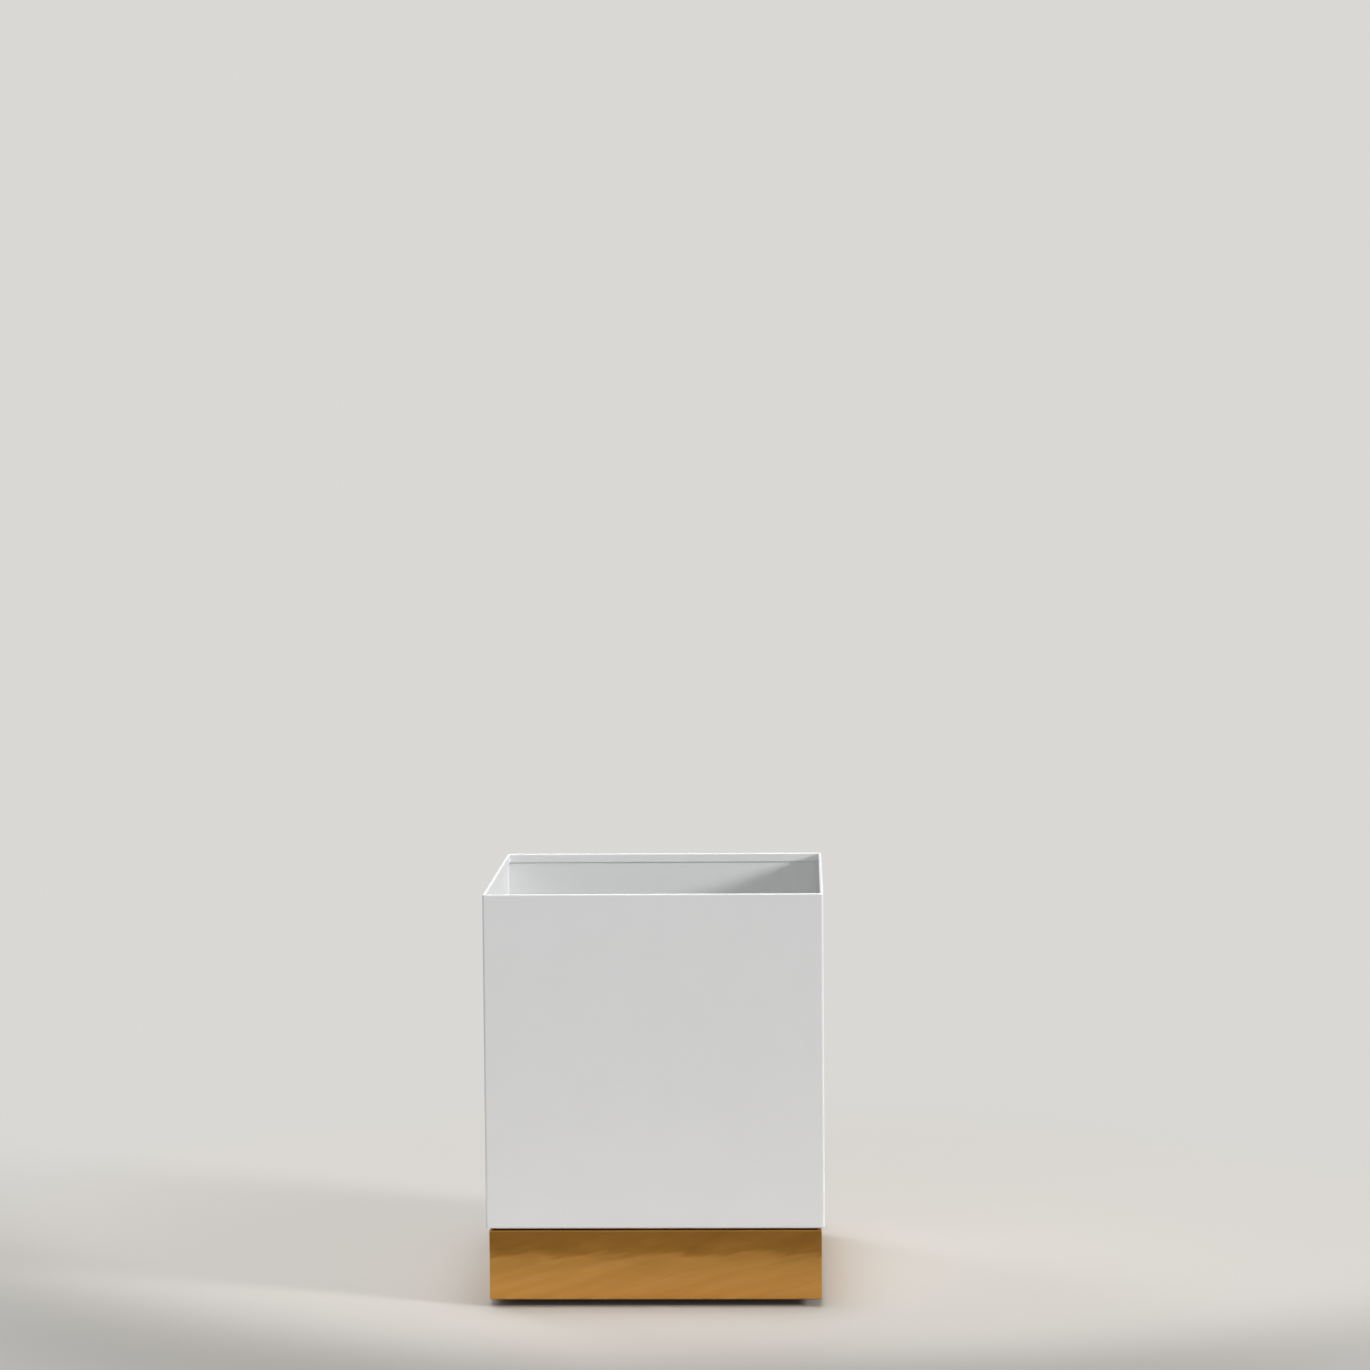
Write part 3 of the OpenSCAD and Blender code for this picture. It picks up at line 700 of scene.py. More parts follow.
def moulded(name, dark, light, roughness, grain, relief, dust=0.2, cut=None, scuffed=None):
    """A non-metal with grain, an even mottle between two colours, and dust. grain and relief are in mm.
    Where cut is given, scuffs of another colour lie under the dust."""
    material, tree, shader = new_material(name, dark, roughness[0])
    surface = place_group(tree, GRAIN, Size=grain * MM)
    mottle = surface.outputs["Mottle"]
    colour = mix_colours(tree, mottle, (*dark, 1), (*light, 1))
    if cut is not None:
        scuff = place_group(tree, SCUFF, Scale=90.0, Cut=cut)
        colour = mix_colours(tree, scuff.outputs["Mask"], colour, (*scuffed, 1))
    gloss = vary(tree, shader, "Roughness", mottle, *roughness)
    finish_dusty(tree, shader, colour, gloss, dust)
    add_bump(tree, shader, surface.outputs["Relief"], relief * MM)
    print("Material:", material.name)
    return material


foam_black = moulded(
    "gasket_foam", (0.014, 0.014, 0.014), (0.026, 0.026, 0.026), (0.85, 0.95), grain=0.9, relief=0.25)
strip_rubber = moulded(
    "strip_rubber", (0.030, 0.030, 0.031), (0.050, 0.050, 0.050), (0.70, 0.85), grain=1.2, relief=0.1)
plug_rubber = moulded(
    "plug_rubber", (0.075, 0.077, 0.082), (0.100, 0.101, 0.105), (0.50, 0.62), grain=1.0, relief=0.05)
ring_plastic = moulded(
    "ring_plastic", (0.030, 0.030, 0.032), (0.045, 0.045, 0.047), (0.42, 0.55), grain=0.8, relief=0.03)
sealant_white = moulded(
    "sealant", (0.74, 0.74, 0.72), (0.80, 0.80, 0.78), (0.26, 0.40), grain=3.5, relief=0.2)
hub_nylon = moulded(
    "hub_nylon", (0.72, 0.715, 0.68), (0.78, 0.78, 0.75), (0.34, 0.48), grain=1.2, relief=0.04,
    dust=0.3, cut=0.74, scuffed=(0.45, 0.44, 0.41))
tyre_grey = moulded(
    "tyre_grey", (0.085, 0.086, 0.090), (0.125, 0.126, 0.130), (0.58, 0.78), grain=0.7, relief=0.06,
    dust=0.35, cut=0.66, scuffed=(0.24, 0.235, 0.22))

# %% [markdown]
# ## Shell
# One sheet makes the whole side of the planter: a flange at the foot, a bend,
# the wall, and a hem folded over inside the rim so that no raw edge is on top.
# The section is drawn as one closed outline that goes round both faces of the
# sheet, with true arcs at the bends, and is then carried round the square.

# %% Shell
shell_low, shell_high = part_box("planter_shell")
SHELL_HALF = shell_high[0]
SHELL_SHEET = 1.5 * MM
SHELL_CORNER_R = 3.0 * MM
FOOT_BEND_R = 2.5 * MM
HEM_H = 14.0 * MM
HEM_GAP = 1.6 * MM
FOOT_FLANGE_IN = 224.0 * MM
SUPPORT = 0.8 * MM


def shell_section():
    """Outline of the sheet: from the foot flange up the outer face, over the hem, down the inner face."""
    z0, z1 = shell_low[2], shell_high[2]
    wall_in = SHELL_HALF - SHELL_SHEET
    hem_r = HEM_GAP / 2 + SHELL_SHEET
    bend_at = (wall_in - FOOT_BEND_R, z0 + FOOT_BEND_R + SHELL_SHEET)
    fold_at = (SHELL_HALF - hem_r, z1 - hem_r)
    hem_in = SHELL_HALF - 2 * hem_r
    edge_r = SHELL_SHEET / 2
    return np.concatenate([
        [[FOOT_FLANGE_IN, z0]],
        arc(bend_at, FOOT_BEND_R + SHELL_SHEET, -90, 0),
        arc(fold_at, hem_r, 0, 180, 16),
        arc((hem_in + edge_r, z1 - HEM_H + edge_r), edge_r, 180, 360, 8),
        arc(fold_at, HEM_GAP / 2, 180, 0, 8),
        arc(bend_at, FOOT_BEND_R, 0, -90),
        [[FOOT_FLANGE_IN, z0 + SHELL_SHEET]],
    ])


side_path = square_path(SUPPORT / (2 * SHELL_HALF))
section = with_supports(shell_section(), SUPPORT)
shell = mesh_piece("shell", *square_ring(section, SHELL_HALF, SHELL_CORNER_R, side_path))
dress(shell, powder_white, body="planter", node="planter_shell")
print("Shell:", len(shell.data.polygons), "faces, rim at", round(shell_high[2], 4), "m")

# %% [markdown]
# ## Skirt
# The skirt is a thinner sheet with two flanges. The upper one is clamped
# between the frame and the gasket, and the lower one stiffens the edge and
# turns it away from the floor. Its bends are tight, so each edge of the skirt
# shows as a thin bright line.

# %% Skirt
skirt_low, skirt_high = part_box("skirt")
SKIRT_HALF = skirt_high[0]
SKIRT_SHEET = 1.2 * MM
SKIRT_BEND_R = 1.0 * MM
SKIRT_CORNER_R = 2.0 * MM
SKIRT_LIP_W = 12.0 * MM
SKIRT_FLANGE_IN = 227.5 * MM


def skirt_section():
    """Outline of the skirt's sheet: out along the lip, up the face, in along the flange, back inside."""
    z0, z1 = skirt_low[2], skirt_high[2]
    bend = SKIRT_BEND_R + SKIRT_SHEET
    low_at, high_at = (SKIRT_HALF - bend, z0 + bend), (SKIRT_HALF - bend, z1 - bend)
    lip_in = SKIRT_HALF - SKIRT_LIP_W
    return np.concatenate([
        [[lip_in, z0]],
        arc(low_at, bend, -90, 0),
        arc(high_at, bend, 0, 90),
        [[SKIRT_FLANGE_IN, z1], [SKIRT_FLANGE_IN, z1 - SKIRT_SHEET]],
        arc(high_at, SKIRT_BEND_R, 90, 0),
        arc(low_at, SKIRT_BEND_R, 0, -90),
        [[lip_in, z0 + SKIRT_SHEET]],
    ])


section = with_supports(skirt_section(), SUPPORT)
skirt = mesh_piece("skirt_sheet", *square_ring(section, SKIRT_HALF, SKIRT_CORNER_R, side_path))
dress(skirt, gold, body="planter", node="skirt")
skirt_height = (skirt_high[2] - skirt_low[2]) / MM
print("Skirt:", len(skirt.data.polygons), "faces,", round(skirt_height, 1), "mm high")

# %% [markdown]
# ## Sealant
# The bead between the pan and the shell is squeezed out and smoothed by hand,
# so its face is hollow and a little uneven. The same square path carries it,
# and its free corner moves in and out by part of a millimetre on the way.

# %% Sealant bead
bead_low, bead_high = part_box("sealant_bead")
pan_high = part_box("floor_pan")[1]
PAN_SHEET = 1.5 * MM
COVE_SHARE = 0.82    # of the bead's rise that the hollow takes
BEAD_CORNER_R = 0.5 * MM
BEAD_WAVES = ((5, 0.25 * MM), (13, 0.12 * MM), (31, 0.06 * MM))    # waves round the pan, and depths


def bead_ring():
    """Hollow bead round the pan: a cove from the wall down to the pan's lip, over the sealant in the gap.
    Each cove point sinks by its share of a wobble, a sum of sine waves of the corner direction's angle,
    which stays the same while the path turns a corner."""
    wall, lip_out = bead_high[0], pan_high[0]
    lip_in, lip_top = lip_out - PAN_SHEET, pan_high[2]
    rise = bead_high[2] - lip_top
    cove = arc((lip_in, bead_high[2]), rise * COVE_SHARE, -84, -6, 10)
    path = square_path(inset=0.002, side_steps=60)
    outline = np.concatenate([
        [[wall, bead_low[2]], [wall, bead_high[2]]],
        cove[::-1],
        [[lip_in, lip_top], [lip_out, lip_top], [lip_out, bead_low[2]]],
    ])
    points, faces = square_ring(outline, wall, BEAD_CORNER_R, path)
    grid = points.reshape(len(path[0]), len(outline), 3)
    along = np.arctan2(path[0][:, 1], path[0][:, 0])
    wobble = sum(depth * np.sin(count * along + count) for count, depth in BEAD_WAVES)
    share = np.zeros(len(outline))
    share[2 : 2 + len(cove)] = np.sin(np.linspace(0, math.pi, len(cove)))
    grid[:, :, 2] -= np.abs(wobble)[:, None] * share[None, :]
    return grid.reshape(-1, 3), faces


bead = mesh_piece("sealant_cove", *bead_ring())
dress(bead, sealant_white, body="planter", node="sealant_bead")
print("Sealant:", len(bead.data.polygons), "faces")

# %% [markdown]
# ## Tyres
# A caster's tyre is moulded in two halves. The tread is slightly crowned, its
# shoulders are round, and a fine line of flash runs round the middle where the
# mould parted. It is a profile turned about the axle.

# %% Profile of a tyre
TREAD_R = 28.0 * MM
SHOULDER_R = 1.6 * MM
FLASH_H = 0.15 * MM
FLASH_W = 0.35 * MM
HUB_RIM_R = 30.0 * MM
RIM_BEVEL = 0.8 * MM
FINE_HALF = 1.0 * MM      # the points lie close together this far to both sides of the flash


def tyre_profile(radius, half_width):
    """Closed outline (distance across, radius): crowned tread with flash in the middle, round shoulders
    and sides. The crown drops by R - sqrt(R*R - x*x) at x across, and the flash adds a bell curve."""
    edge = half_width - SHOULDER_R
    fine = np.linspace(-FINE_HALF, FINE_HALF, 17)[1:-1]
    right_side = np.linspace(FINE_HALF, edge, 14)
    across = np.concatenate([-right_side[::-1], fine, right_side])
    drop = TREAD_R - np.sqrt(TREAD_R**2 - across**2)
    crown = radius - FLASH_H - drop + FLASH_H * np.exp(-((across / FLASH_W) ** 2))
    shoulder_z = crown[-1] - SHOULDER_R
    tilt = math.degrees(math.asin(edge / TREAD_R))
    right = arc((edge, shoulder_z), SHOULDER_R, 90 - tilt, 0, 6)
    left = right[::-1] * (-1, 1)
    bevel = [[half_width, HUB_RIM_R + RIM_BEVEL], [half_width - RIM_BEVEL, HUB_RIM_R]]
    inner = np.array(bevel + [[-x, r] for x, r in bevel[::-1]])
    return np.concatenate([np.stack([across, crown], axis=-1), right, inner, left])


def turned(profile, centre, steps=128):
    """Turns a closed profile (across, radius) about an axle along X through centre."""
    angle = np.linspace(0, 2 * math.pi, steps, endpoint=False)[:, None]
    across, radius = profile[None, :, 0], profile[None, :, 1]
    place = [across + 0 * angle, radius * np.cos(angle), radius * np.sin(angle)]
    points = np.stack(place, axis=-1).reshape(-1, 3) + np.array(centre)
    return points, grid_faces(steps, len(profile), True, True)


print("A tyre of 37.5 by 24 mm has", len(tyre_profile(37.5 * MM, 12 * MM)), "points across")

# %% Tyres


def make_tyre(corner):
    """One tyre in the place of its CAD node, riding on its wheel."""
    node = corner + "_wheel_tyre"
    low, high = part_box(node)
    radius, half_width = (high[2] - low[2]) / 2, (high[0] - low[0]) / 2
    tyre = mesh_piece(corner + "_tyre", *turned(tyre_profile(radius, half_width), (low + high) / 2))
    dress(tyre, tyre_grey, body=corner + "_wheel_body", node=node)
    return tyre


tyres = [make_tyre(corner) for corner in CORNERS]
print("Tyres:", len(tyres), "of", len(tyres[0].data.polygons), "faces")

# %% [markdown]
# ## Fasteners
# A bolt, a stud or a nut is a radius that depends on the place along it and on
# the angle round it. A hexagon limits the radius by angle, a bevel or a shank
# limits it by place, and a thread by both: its groove moves on by one pitch
# with every turn. The smallest of these limits is the surface, so the curved
# bevel on each corner of a hexagon comes out by itself.

# %% Surface of a fastener
TURN_STEPS = np.array([0, 1.5, 8, 19, 30, 41, 52, 58.5])    # degrees from corner to corner of the hexagon
M6 = {"radius": 3.0 * MM, "pitch": 1.0 * MM, "flats": 10.0 * MM, "head": 4.0 * MM, "nut": 6.0 * MM}
M8 = {"radius": 4.0 * MM, "pitch": 1.25 * MM, "flats": 13.0 * MM, "head": 5.3 * MM, "nut": 8.0 * MM}
THREADED = 3.4 * MM       # length of the threaded end that shows
THREAD_DEPTH = 0.61       # of the groove, as a share of the pitch
FLAT_SHARE = 0.1          # of the pitch, for the thread's flat crest and for its flat bottom
SIXTH = math.radians(60)


def fastener(columns, size, thread_from=math.inf):
    """Grid along +X. columns lists (place, largest radius). With a half the width across flats and t the
    angle from the nearest corner, the hexagon's radius is a / cos(30 - t). From thread_from on, a groove
    with slanting flanks is cut below the shank's radius. What has a thread is a rod with caps. A nut has
    its bore as its inner surface, so its last column joins its first."""
    angle = np.radians(np.concatenate([TURN_STEPS + 60 * k for k in range(6)]))[:, None]
    along, limit = np.array(columns).T[:, None, :]
    from_corner = np.abs((angle + SIXTH / 2) % SIXTH - SIXTH / 2)
    hexagon = size["flats"] / 2 / np.cos(SIXTH / 2 - from_corner)
    phase = (along / size["pitch"] - angle / (2 * math.pi)) % 1
    flank = (np.abs(2 * phase - 1) - FLAT_SHARE) / (1 - 2 * FLAT_SHARE)
    groove = THREAD_DEPTH * size["pitch"] * np.clip(flank, 0, 1)
    fade = np.clip((along - thread_from) / size["pitch"], 0, 1)
    thread = np.where(along > thread_from, size["radius"] - groove * fade, limit)
    radius = np.minimum(np.minimum(hexagon, limit), thread)
    place = [along + 0 * angle, radius * np.cos(angle), radius * np.sin(angle)]
    points = np.stack(place, axis=-1).reshape(-1, 3)
    if thread_from < math.inf:
        return points, rod_faces(len(angle), len(columns))
    return points, grid_faces(len(angle), len(columns), True, True)


def threaded_end(size, length):
    """Columns of a shank's last part: twelve to a pitch, with a bevel over the last half pitch."""
    radius, pitch = size["radius"], size["pitch"]
    along = np.linspace(length - THREADED, length, int(12 * THREADED / pitch))
    limit = radius - np.clip(along - (length - pitch / 2), 0, None)
    return [*zip(along, limit), (length, radius / 2)]


print("Points round a fastener:", 6 * len(TURN_STEPS))

# %% Bolt and stud


def bolt(size, length):
    """Bevelled hexagon head below its seat at 0, and a shank with a threaded end."""
    half, head, step = size["flats"] / 2, size["head"], 0.25 * MM
    columns = [(-head, half * 0.8), (-head, half - step)]
    columns += [(-head + k * step, half + k * step) for k in (0.2, 1, 2, 3, 4)]
    columns += [(-head + 5 * step, 2 * half), (-step, 2 * half), (-0.2 * step, 2 * half)]
    columns += [(0, half + 2 * step), (0, size["radius"] + step), (0, size["radius"])]
    columns += [(step, size["radius"])]
    return fastener(columns + threaded_end(size, length), size, length - THREADED)


def stud(size, length):
    """Plain rod from its weld at 0, with a threaded end."""
    columns = [(0, size["radius"] * 0.8), (0, size["radius"]), (0.3 * MM, size["radius"])]
    return fastener(columns + threaded_end(size, length), size, length - THREADED)


print("An M6 bolt of 20 mm has", len(bolt(M6, 20 * MM)[1]), "quads")

# %% Locking nut


def lock_nut(size):
    """Hexagon from its seat at 0, with a round collar on top that is rolled in over a locking ring."""
    half, height, step = size["flats"] / 2, size["nut"], 0.2 * MM
    bore, collar = size["radius"] + 0.25 * step, height / 4
    top, round_r = height - collar, half - collar / 2
    columns = [(step, bore), (0, bore + step), (0, half), (0, half + step), (2 * step, half + 4 * step)]
    columns += [(3 * step, 2 * half), (top - 5 * step, 2 * half)]
    columns += [(top - k * step, half + k * step) for k in (4, 3, 2, 1, 0.2)]
    columns += [(top, half - step), (top, round_r + step), (top + step, round_r)]
    columns += arc((height - 3 * step, round_r - 3 * step), 3 * step, 90, 0, 5).tolist()
    columns += [(height, round_r - 4 * step), (height - 2 * step, round_r - 5 * step)]
    columns += [(height - 2 * step, bore + step), (height - 3 * step, bore)]
    return fastener(columns, size)


print("An M6 locking nut has", len(lock_nut(M6)[1]), "quads")

# %% From a fastener to its place


def aimed(grid, centre, ahead, corner):
    """Moves a fastener to centre, with its axis along ahead and a corner of its hexagon towards corner."""
    points, faces = grid
    turn = np.array([ahead, corner, np.cross(ahead, corner)], float)
    return points @ turn + np.array(centre), faces


def fastener_piece(node, body, grids):
    """Joins fasteners into one piece that stands for a CAD node."""
    piece = mesh_piece(node + "_detailed", *join_grids(grids))
    dress(piece, zinc, body=body, node=node)
    print(piece.name, len(piece.data.polygons), "faces")


# %% Fasteners of the frame
X, Y, Z = np.eye(3)
BOTH = (-1, 1)
TUBE_W = 20.0 * MM
BOLT_OFF = 23.0 * MM      # from a kingpin to its caster's bolts, both ways
STUD_FROM_BAR = 30.0 * MM
joint_at = {joint["name"]: joint.get("pos_m") for joint in frame["joints"]}
frame_low, frame_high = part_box("base_frame")
kingpin_at = joint_at["rear_right_swivel"][0]     # these places are distances from the planter's middle
bar_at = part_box("cross_bars")[1][0] - TUBE_W / 2
stud_line = frame_high[0] - TUBE_W / 2            # the line of studs along each side
stud_side = bar_at + STUD_FROM_BAR                # and the studs' places along it

bolt_high, nut_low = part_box("caster_bolts")[1][2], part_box("caster_nuts")[0][2]
bolt_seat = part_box("caster_bolts")[0][2] + M6["head"]
kingpins = [(x * kingpin_at, y * kingpin_at) for x in BOTH for y in BOTH]
holes = [(x + i * BOLT_OFF, y + j * BOLT_OFF) for x, y in kingpins for i in BOTH for j in BOTH]
bolts = [aimed(bolt(M6, bolt_high - bolt_seat), (*p, bolt_seat), Z, X) for p in holes]
fastener_piece("caster_bolts", "planter", bolts)
fastener_piece("caster_nuts", "planter", [aimed(lock_nut(M6), (*p, nut_low), Z, X) for p in holes])

stud_low, stud_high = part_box("shell_studs")[0][2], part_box("shell_studs")[1][2]
nut_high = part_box("stud_nuts")[1][2]
pairs = [(x * stud_line, y * stud_side) for x in BOTH for y in BOTH]
welded = [((x, y), X) for x, y in pairs] + [((y, x), Y) for x, y in pairs]
studs = [aimed(stud(M6, stud_high - stud_low), (*p, stud_high), -Z, out) for p, out in welded]
fastener_piece("shell_studs", "planter", studs)
fastener_piece("stud_nuts", "planter", [aimed(lock_nut(M6), (*p, nut_high), -Z, out) for p, out in welded])

# %% Axle bolts and nuts
for corner in CORNERS:
    low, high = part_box(corner + "_axle_bolt")
    seat, y, z = low[0] + M8["head"], (low[1] + high[1]) / 2, (low[2] + high[2]) / 2
    nut_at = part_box(corner + "_axle_nut")[0][0]
    body = corner + "_swivel_body"
    fastener_piece(corner + "_axle_bolt", body, [aimed(bolt(M8, high[0] - seat), (seat, y, z), X, Z)])
    fastener_piece(corner + "_axle_nut", body, [aimed(lock_nut(M8), (nut_at, y, z), X, Z)])

# %% [markdown]
# ## Weld beads
# The frame's mitres, the cross bars and the gussets are welded from below, and
# the black coat covers the welds. A bead freezes in overlapping scales, each
# bowed, and its ends are round. It is an ellipse carried along the seam, which
# shrinks at both ends and swells a little with every scale. Half of it lies in
# the groove beside the tube's rounded edge. The gussets only get short
# stitches, which bend the plate less than a full seam.

# %% Surface of a weld bead
BEAD_HALF = 2.6 * MM      # half of a bead's width
BEAD_H = 1.2 * MM
BEAD_SIDES = 12
BEAD_STEP = 0.4 * MM      # about this far between points along a bead
ROUND_END = 1.4           # length of a bead's round end, in half widths
SCALE_LENGTH = 1.6 * MM
WANDER = 0.08             # how far a bead strays sideways, in half widths


def weld_bead(start, end, half_width=BEAD_HALF, height=BEAD_H):
    """Bead on the frame's underside from start to end, given as (x, y).
    Near an end its size falls as sqrt(1 - e * e), with e from 0 to 1 over the round end."""
    start, end = (np.array([*p, frame_low[2]]) for p in (start, end))
    length = np.linalg.norm(end - start)
    ahead = (end - start) / length
    side = np.cross(ahead, Z)
    along = np.linspace(0, length, round(length / BEAD_STEP) + 1)[None, :]
    angle = np.linspace(0, 2 * math.pi, BEAD_SIDES, endpoint=False)[:, None]
    across, out = np.cos(angle), np.sin(angle)
    near_end = np.clip(1 - np.minimum(along, length - along) / (ROUND_END * half_width), 0, 0.999)
    fullness = np.sqrt(1 - near_end**2)
    wander = WANDER * np.sin(along / (3.1 * MM) + 40 * start.sum())
    scales = np.abs(np.sin(math.pi * (along / SCALE_LENGTH - 0.5 * across**2)))
    sideways = half_width * fullness * (across + wander)
    down = height * fullness * out * (0.8 + 0.2 * scales)
    points = start + along[..., None] * ahead + sideways[..., None] * side - down[..., None] * Z
    return points.reshape(-1, 3), rod_faces(*scales.shape)


print("A weld bead of 25 mm has", len(weld_bead((0, 0), (25 * MM, 0))[1]), "quads")

# %% Weld beads in their places
GUSSET_REACH = 48.0 * MM  # from a kingpin to the inner ends of its gusset
STITCHES = ((0.04, 0.27), (0.40, 0.63), (0.74, 0.97))    # starts and ends, as shares of a gusset's side
MITRE_LENGTH = 18.0 * MM
BAR_WELD_HALF = 8.0 * MM
THIN_BEAD = {"half_width": 2.0 * MM, "height": 0.7 * MM}
frame_in = frame_high[0] - TUBE_W
gusset_in = kingpin_at - GUSSET_REACH


def corner_beads(x, y):
    """Beads of the corner towards (x, y): stitches along both sides of the gusset, one along the mitre,
    and one at the end of a cross bar."""
    beads = []
    side = frame_in - gusset_in
    for low, high in STITCHES:
        near, far = gusset_in + low * side, gusset_in + high * side
        beads.append(weld_bead((x * near, y * frame_in), (x * far, y * frame_in)))
        beads.append(weld_bead((x * frame_in, y * near), (x * frame_in, y * far)))
    mitre_end = frame_in + MITRE_LENGTH
    beads.append(weld_bead((x * frame_in, y * frame_in), (x * mitre_end, y * mitre_end), **THIN_BEAD))
    bar_left, bar_right = x * bar_at - BAR_WELD_HALF, x * bar_at + BAR_WELD_HALF
    beads.append(weld_bead((bar_left, y * frame_in), (bar_right, y * frame_in)))
    return beads


beads = [bead for x in BOTH for y in BOTH for bead in corner_beads(x, y)]
welds = mesh_piece("weld_beads", *join_grids(beads))
welds.data.materials.append(frame_black)
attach(welds, "planter")
print("Weld beads:", len(beads), "with", len(welds.data.polygons), "faces")

# %% [markdown]
# ## Pieces that keep their CAD form
# Pressed, cut and moulded pieces already have the right shape, but a perfectly
# sharp edge never catches the light. A copy of the CAD mesh, with its doubled
# points merged, takes a narrow bevel and stands in for the node. Where an edge
# is too fine to show, the node itself stays and only gets its material.

# %% Copies with softened edges
SHARP_FROM = math.radians(30)


def softened(node, body, material, width):
    """Copies a CAD node, merges its points, bevels its sharp edges and puts it in the node's place."""
    mesh = nodes[node].data.copy()
    mesh.name = node + "_soft"
    merge_points(mesh, join_level=True)
    mesh.materials.clear()
    mesh.shade_smooth()
    piece = bpy.data.objects.new(node + "_soft", mesh)
    bpy.context.scene.collection.objects.link(piece)
    bevel = piece.modifiers.new("soft_edges", "BEVEL")
    bevel.width = width
    bevel.segments = 2
    bevel.limit_method = "ANGLE"
    bevel.angle_limit = SHARP_FROM
    bevel.harden_normals = True
    dress(piece, material, body=body, node=node)
    print(piece.name, "takes a bevel of", round(width / MM, 2), "mm")


for corner in CORNERS:
    softened(corner + "_fork", corner + "_swivel_body", zinc, 0.35 * MM)
    softened(corner + "_top_plate", "planter", zinc, 0.3 * MM)
    softened(corner + "_wheel_hub", corner + "_wheel_body", hub_nylon, 0.4 * MM)
softened("corner_gussets", "planter", frame_black, 0.4 * MM)
softened("support_strips", "planter", strip_rubber, 0.6 * MM)
softened("drain_plug", "plug_body", plug_rubber, 0.4 * MM)

# %% Materials on the CAD nodes that stay
KEPT = {
    "floor_pan": galvanised,
    "shell_gasket": foam_black,
    "base_frame": frame_black,
    "cross_bars": frame_black,
    "stud_washers": zinc,
}
for corner in CORNERS:
    for part in ("kingpin", "lower_race", "axle_sleeve"):
        KEPT[corner + "_" + part] = zinc
    KEPT[corner + "_dust_ring"] = ring_plastic
    KEPT[corner + "_bearing_balls"] = bright_balls
for node, material in KEPT.items():
    mesh = nodes[node].data
    mesh.materials.clear()
    mesh.materials.append(material)
print("Nodes kept:", len(KEPT), "of", len(nodes))

# %% [markdown]
# ## Floor and background
# A studio sweep runs from the floor up into the background with no line. Here
# the floor is one large disc whose surface gives way, with distance, to the
# world's own pale light, so that both meet in one colour. Near the planter the
# disc takes its shadow and shows in the polished skirt. It has no underside,
# so that a view from below sees the casters.

# %% Light of the sweep
SWEEP_COLOUR = (0.70, 0.69, 0.67, 1)
FILL_COLOUR = (0.288, 0.294, 0.300, 1)


def sweep_light(tree):
    """The sweep's own colour for camera, glossy and transmission rays, and a weaker fill for all others."""
    rays = add_node(tree, "ShaderNodeLightPath")
    either = math_node(tree, "MAXIMUM", rays.outputs["Is Camera Ray"], rays.outputs["Is Glossy Ray"])
    any_seen = math_node(tree, "MAXIMUM", either, rays.outputs["Is Transmission Ray"])
    return mix_colours(tree, any_seen, FILL_COLOUR, SWEEP_COLOUR)


print("Sweep:", SWEEP_COLOUR[:3], "and its fill:", FILL_COLOUR[:3])

# %% Floor material
FLOOR_COLOUR = (0.55, 0.525, 0.49)
FADE_FROM = 0.6    # metres from the middle
FADE_TO = 2.0


def mix_shaders(tree, factor, first, second):
    """Mixes two shaders' outputs and returns the result's socket."""
    node = add_node(tree, "ShaderNodeMixShader")
    for socket, value in zip(node.inputs, (factor, first, second)):
        tree.links.new(value, socket)
    return node.outputs["Shader"]


def floor_material():
    """Pale matt floor that turns into the sweep's light between two distances, and is clear from below."""
    material, tree, shader = new_material("stage_floor", FLOOR_COLOUR, 0.6)
    shader.inputs["Specular IOR Level"].default_value = 0.15
    cloud = noise(tree, object_vector(tree), 1.5, detail=3.0)
    vary(tree, shader, "Roughness", cloud, 0.50, 0.66)
    far = add_node(tree, "ShaderNodeVectorMath", operation="LENGTH")
    tree.links.new(object_vector(tree), far.inputs[0])
    fade = ramp(tree, far.outputs["Value"], FADE_FROM, FADE_TO)
    glow = add_node(tree, "ShaderNodeEmission")
    tree.links.new(sweep_light(tree), glow.inputs["Color"])
    above = mix_shaders(tree, fade, shader.outputs["BSDF"], glow.outputs["Emission"])
    shape = add_node(tree, "ShaderNodeNewGeometry")
    clear = add_node(tree, "ShaderNodeBsdfTransparent")
    both = mix_shaders(tree, shape.outputs["Backfacing"], above, clear.outputs["BSDF"])
    tree.links.new(both, tree.nodes["Material Output"].inputs["Surface"])
    material.cycles.emission_sampling = "NONE"
    return material


stage_floor = floor_material()
print("Material:", stage_floor.name, "fading from", FADE_FROM, "to", FADE_TO, "m")

# %% Floor
FLOOR_R = 14.0
FLOOR_RINGS, FLOOR_SPOKES = 9, 64


def floor_disc():
    """Flat rings of points, with radius and angle as the two parameters. One face closes the middle."""
    radius = np.linspace(0.02, FLOOR_R, FLOOR_RINGS)[:, None]
    angle = np.linspace(0, 2 * math.pi, FLOOR_SPOKES, endpoint=False)[None, :]
    place = [radius * np.cos(angle), radius * np.sin(angle), 0 * radius * angle]
    points = np.stack(place, axis=-1).reshape(-1, 3)
    faces = grid_faces(FLOOR_RINGS, FLOOR_SPOKES, False, True).tolist() + [list(range(FLOOR_SPOKES))]
    mesh = bpy.data.meshes.new("floor")
    mesh.from_pydata(points.tolist(), [], faces)
    disc = bpy.data.objects.new("floor", mesh)
    bpy.context.scene.collection.objects.link(disc)
    return disc


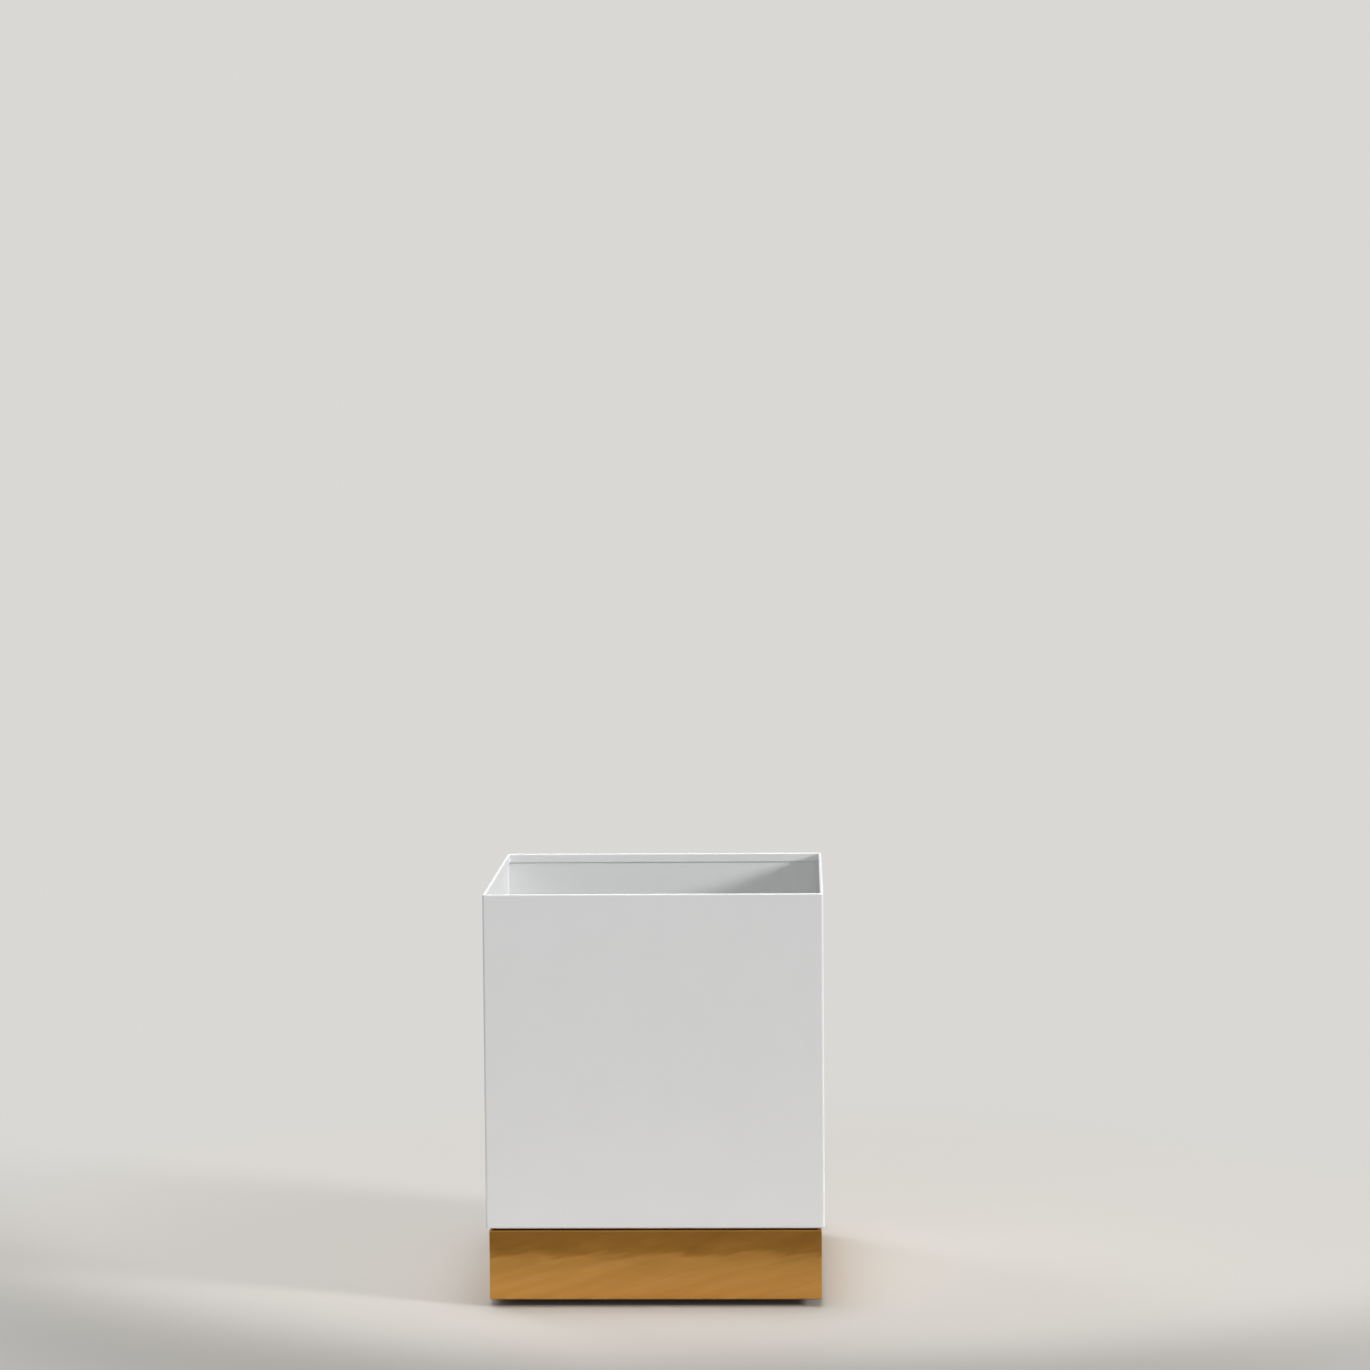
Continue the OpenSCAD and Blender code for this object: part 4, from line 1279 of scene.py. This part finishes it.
floor = floor_disc()
floor.data.materials.append(stage_floor)
print("Floor:", len(floor.data.polygons), "faces, radius", FLOOR_R, "m")

# %% [markdown]
# ## Light
# The photograph's light comes from the right and from the camera's side, about
# 20 degrees up. It leaves the right half of the inner back wall in shade, along
# a slanting line. One soft panel does that. A weak panel stands low in front,
# so that it lifts the front face and leaves the inside alone. A flat lamp
# overhead shines straight down, and its light ends a little way in front of the
# skirt. The skirt mirrors that floor, so it is bright below and deeper in colour
# near its top, which its material also paints in as a darker reflection, and the
# gap under it stays dark. A panel behind on the left shapes the far sides. The
# world adds an even fill, which is weaker than the pale background that the
# camera and the polished metal see.

# %% Lights
TARGET = Vector((0, 0, 0.35))
KEY_TOWARDS = Vector((1.0, -0.42, 0.375)).normalized()
KEY_DISTANCE = 9.0
COOL_WHITE = (0.96, 0.98, 1.0)


def area_lamp(name, place, shape, size, power):
    """A lamp with a surface, in metres and watts. It shines straight down until it is turned."""
    data = bpy.data.lights.new(name, "AREA")
    data.shape = shape
    data.size = size
    data.energy = power
    lamp = bpy.data.objects.new(name, data)
    lamp.location = place
    bpy.context.scene.collection.objects.link(lamp)
    print("Lamp:", name, power, "W")
    return lamp


def panel_light(name, place, size, power):
    """A square soft panel, turned to face the planter."""
    panel = area_lamp(name, place, "SQUARE", size, power)
    panel.rotation_euler = (TARGET - Vector(place)).to_track_quat("-Z", "Y").to_euler()
    return panel


panel_light("key", TARGET + KEY_DISTANCE * KEY_TOWARDS, size=1.44, power=520)
panel_light("front_fill", (-1.5, -3.6, 0.5), size=1.2, power=18)
behind = panel_light("behind", (-2.6, 2.4, 3.2), size=1.6, power=46)
behind.data.color = COOL_WHITE
overhead = area_lamp("overhead", (0.20, 0.95, 1.3), "DISK", size=3.1, power=14)
overhead.data.spread = math.radians(24)

# %% World
world = bpy.data.worlds.new("room")
bpy.context.scene.world = world
world.use_nodes = True
room_light = sweep_light(world.node_tree)
world.node_tree.links.new(room_light, world.node_tree.nodes["Background"].inputs["Color"])
print("World:", world.name)
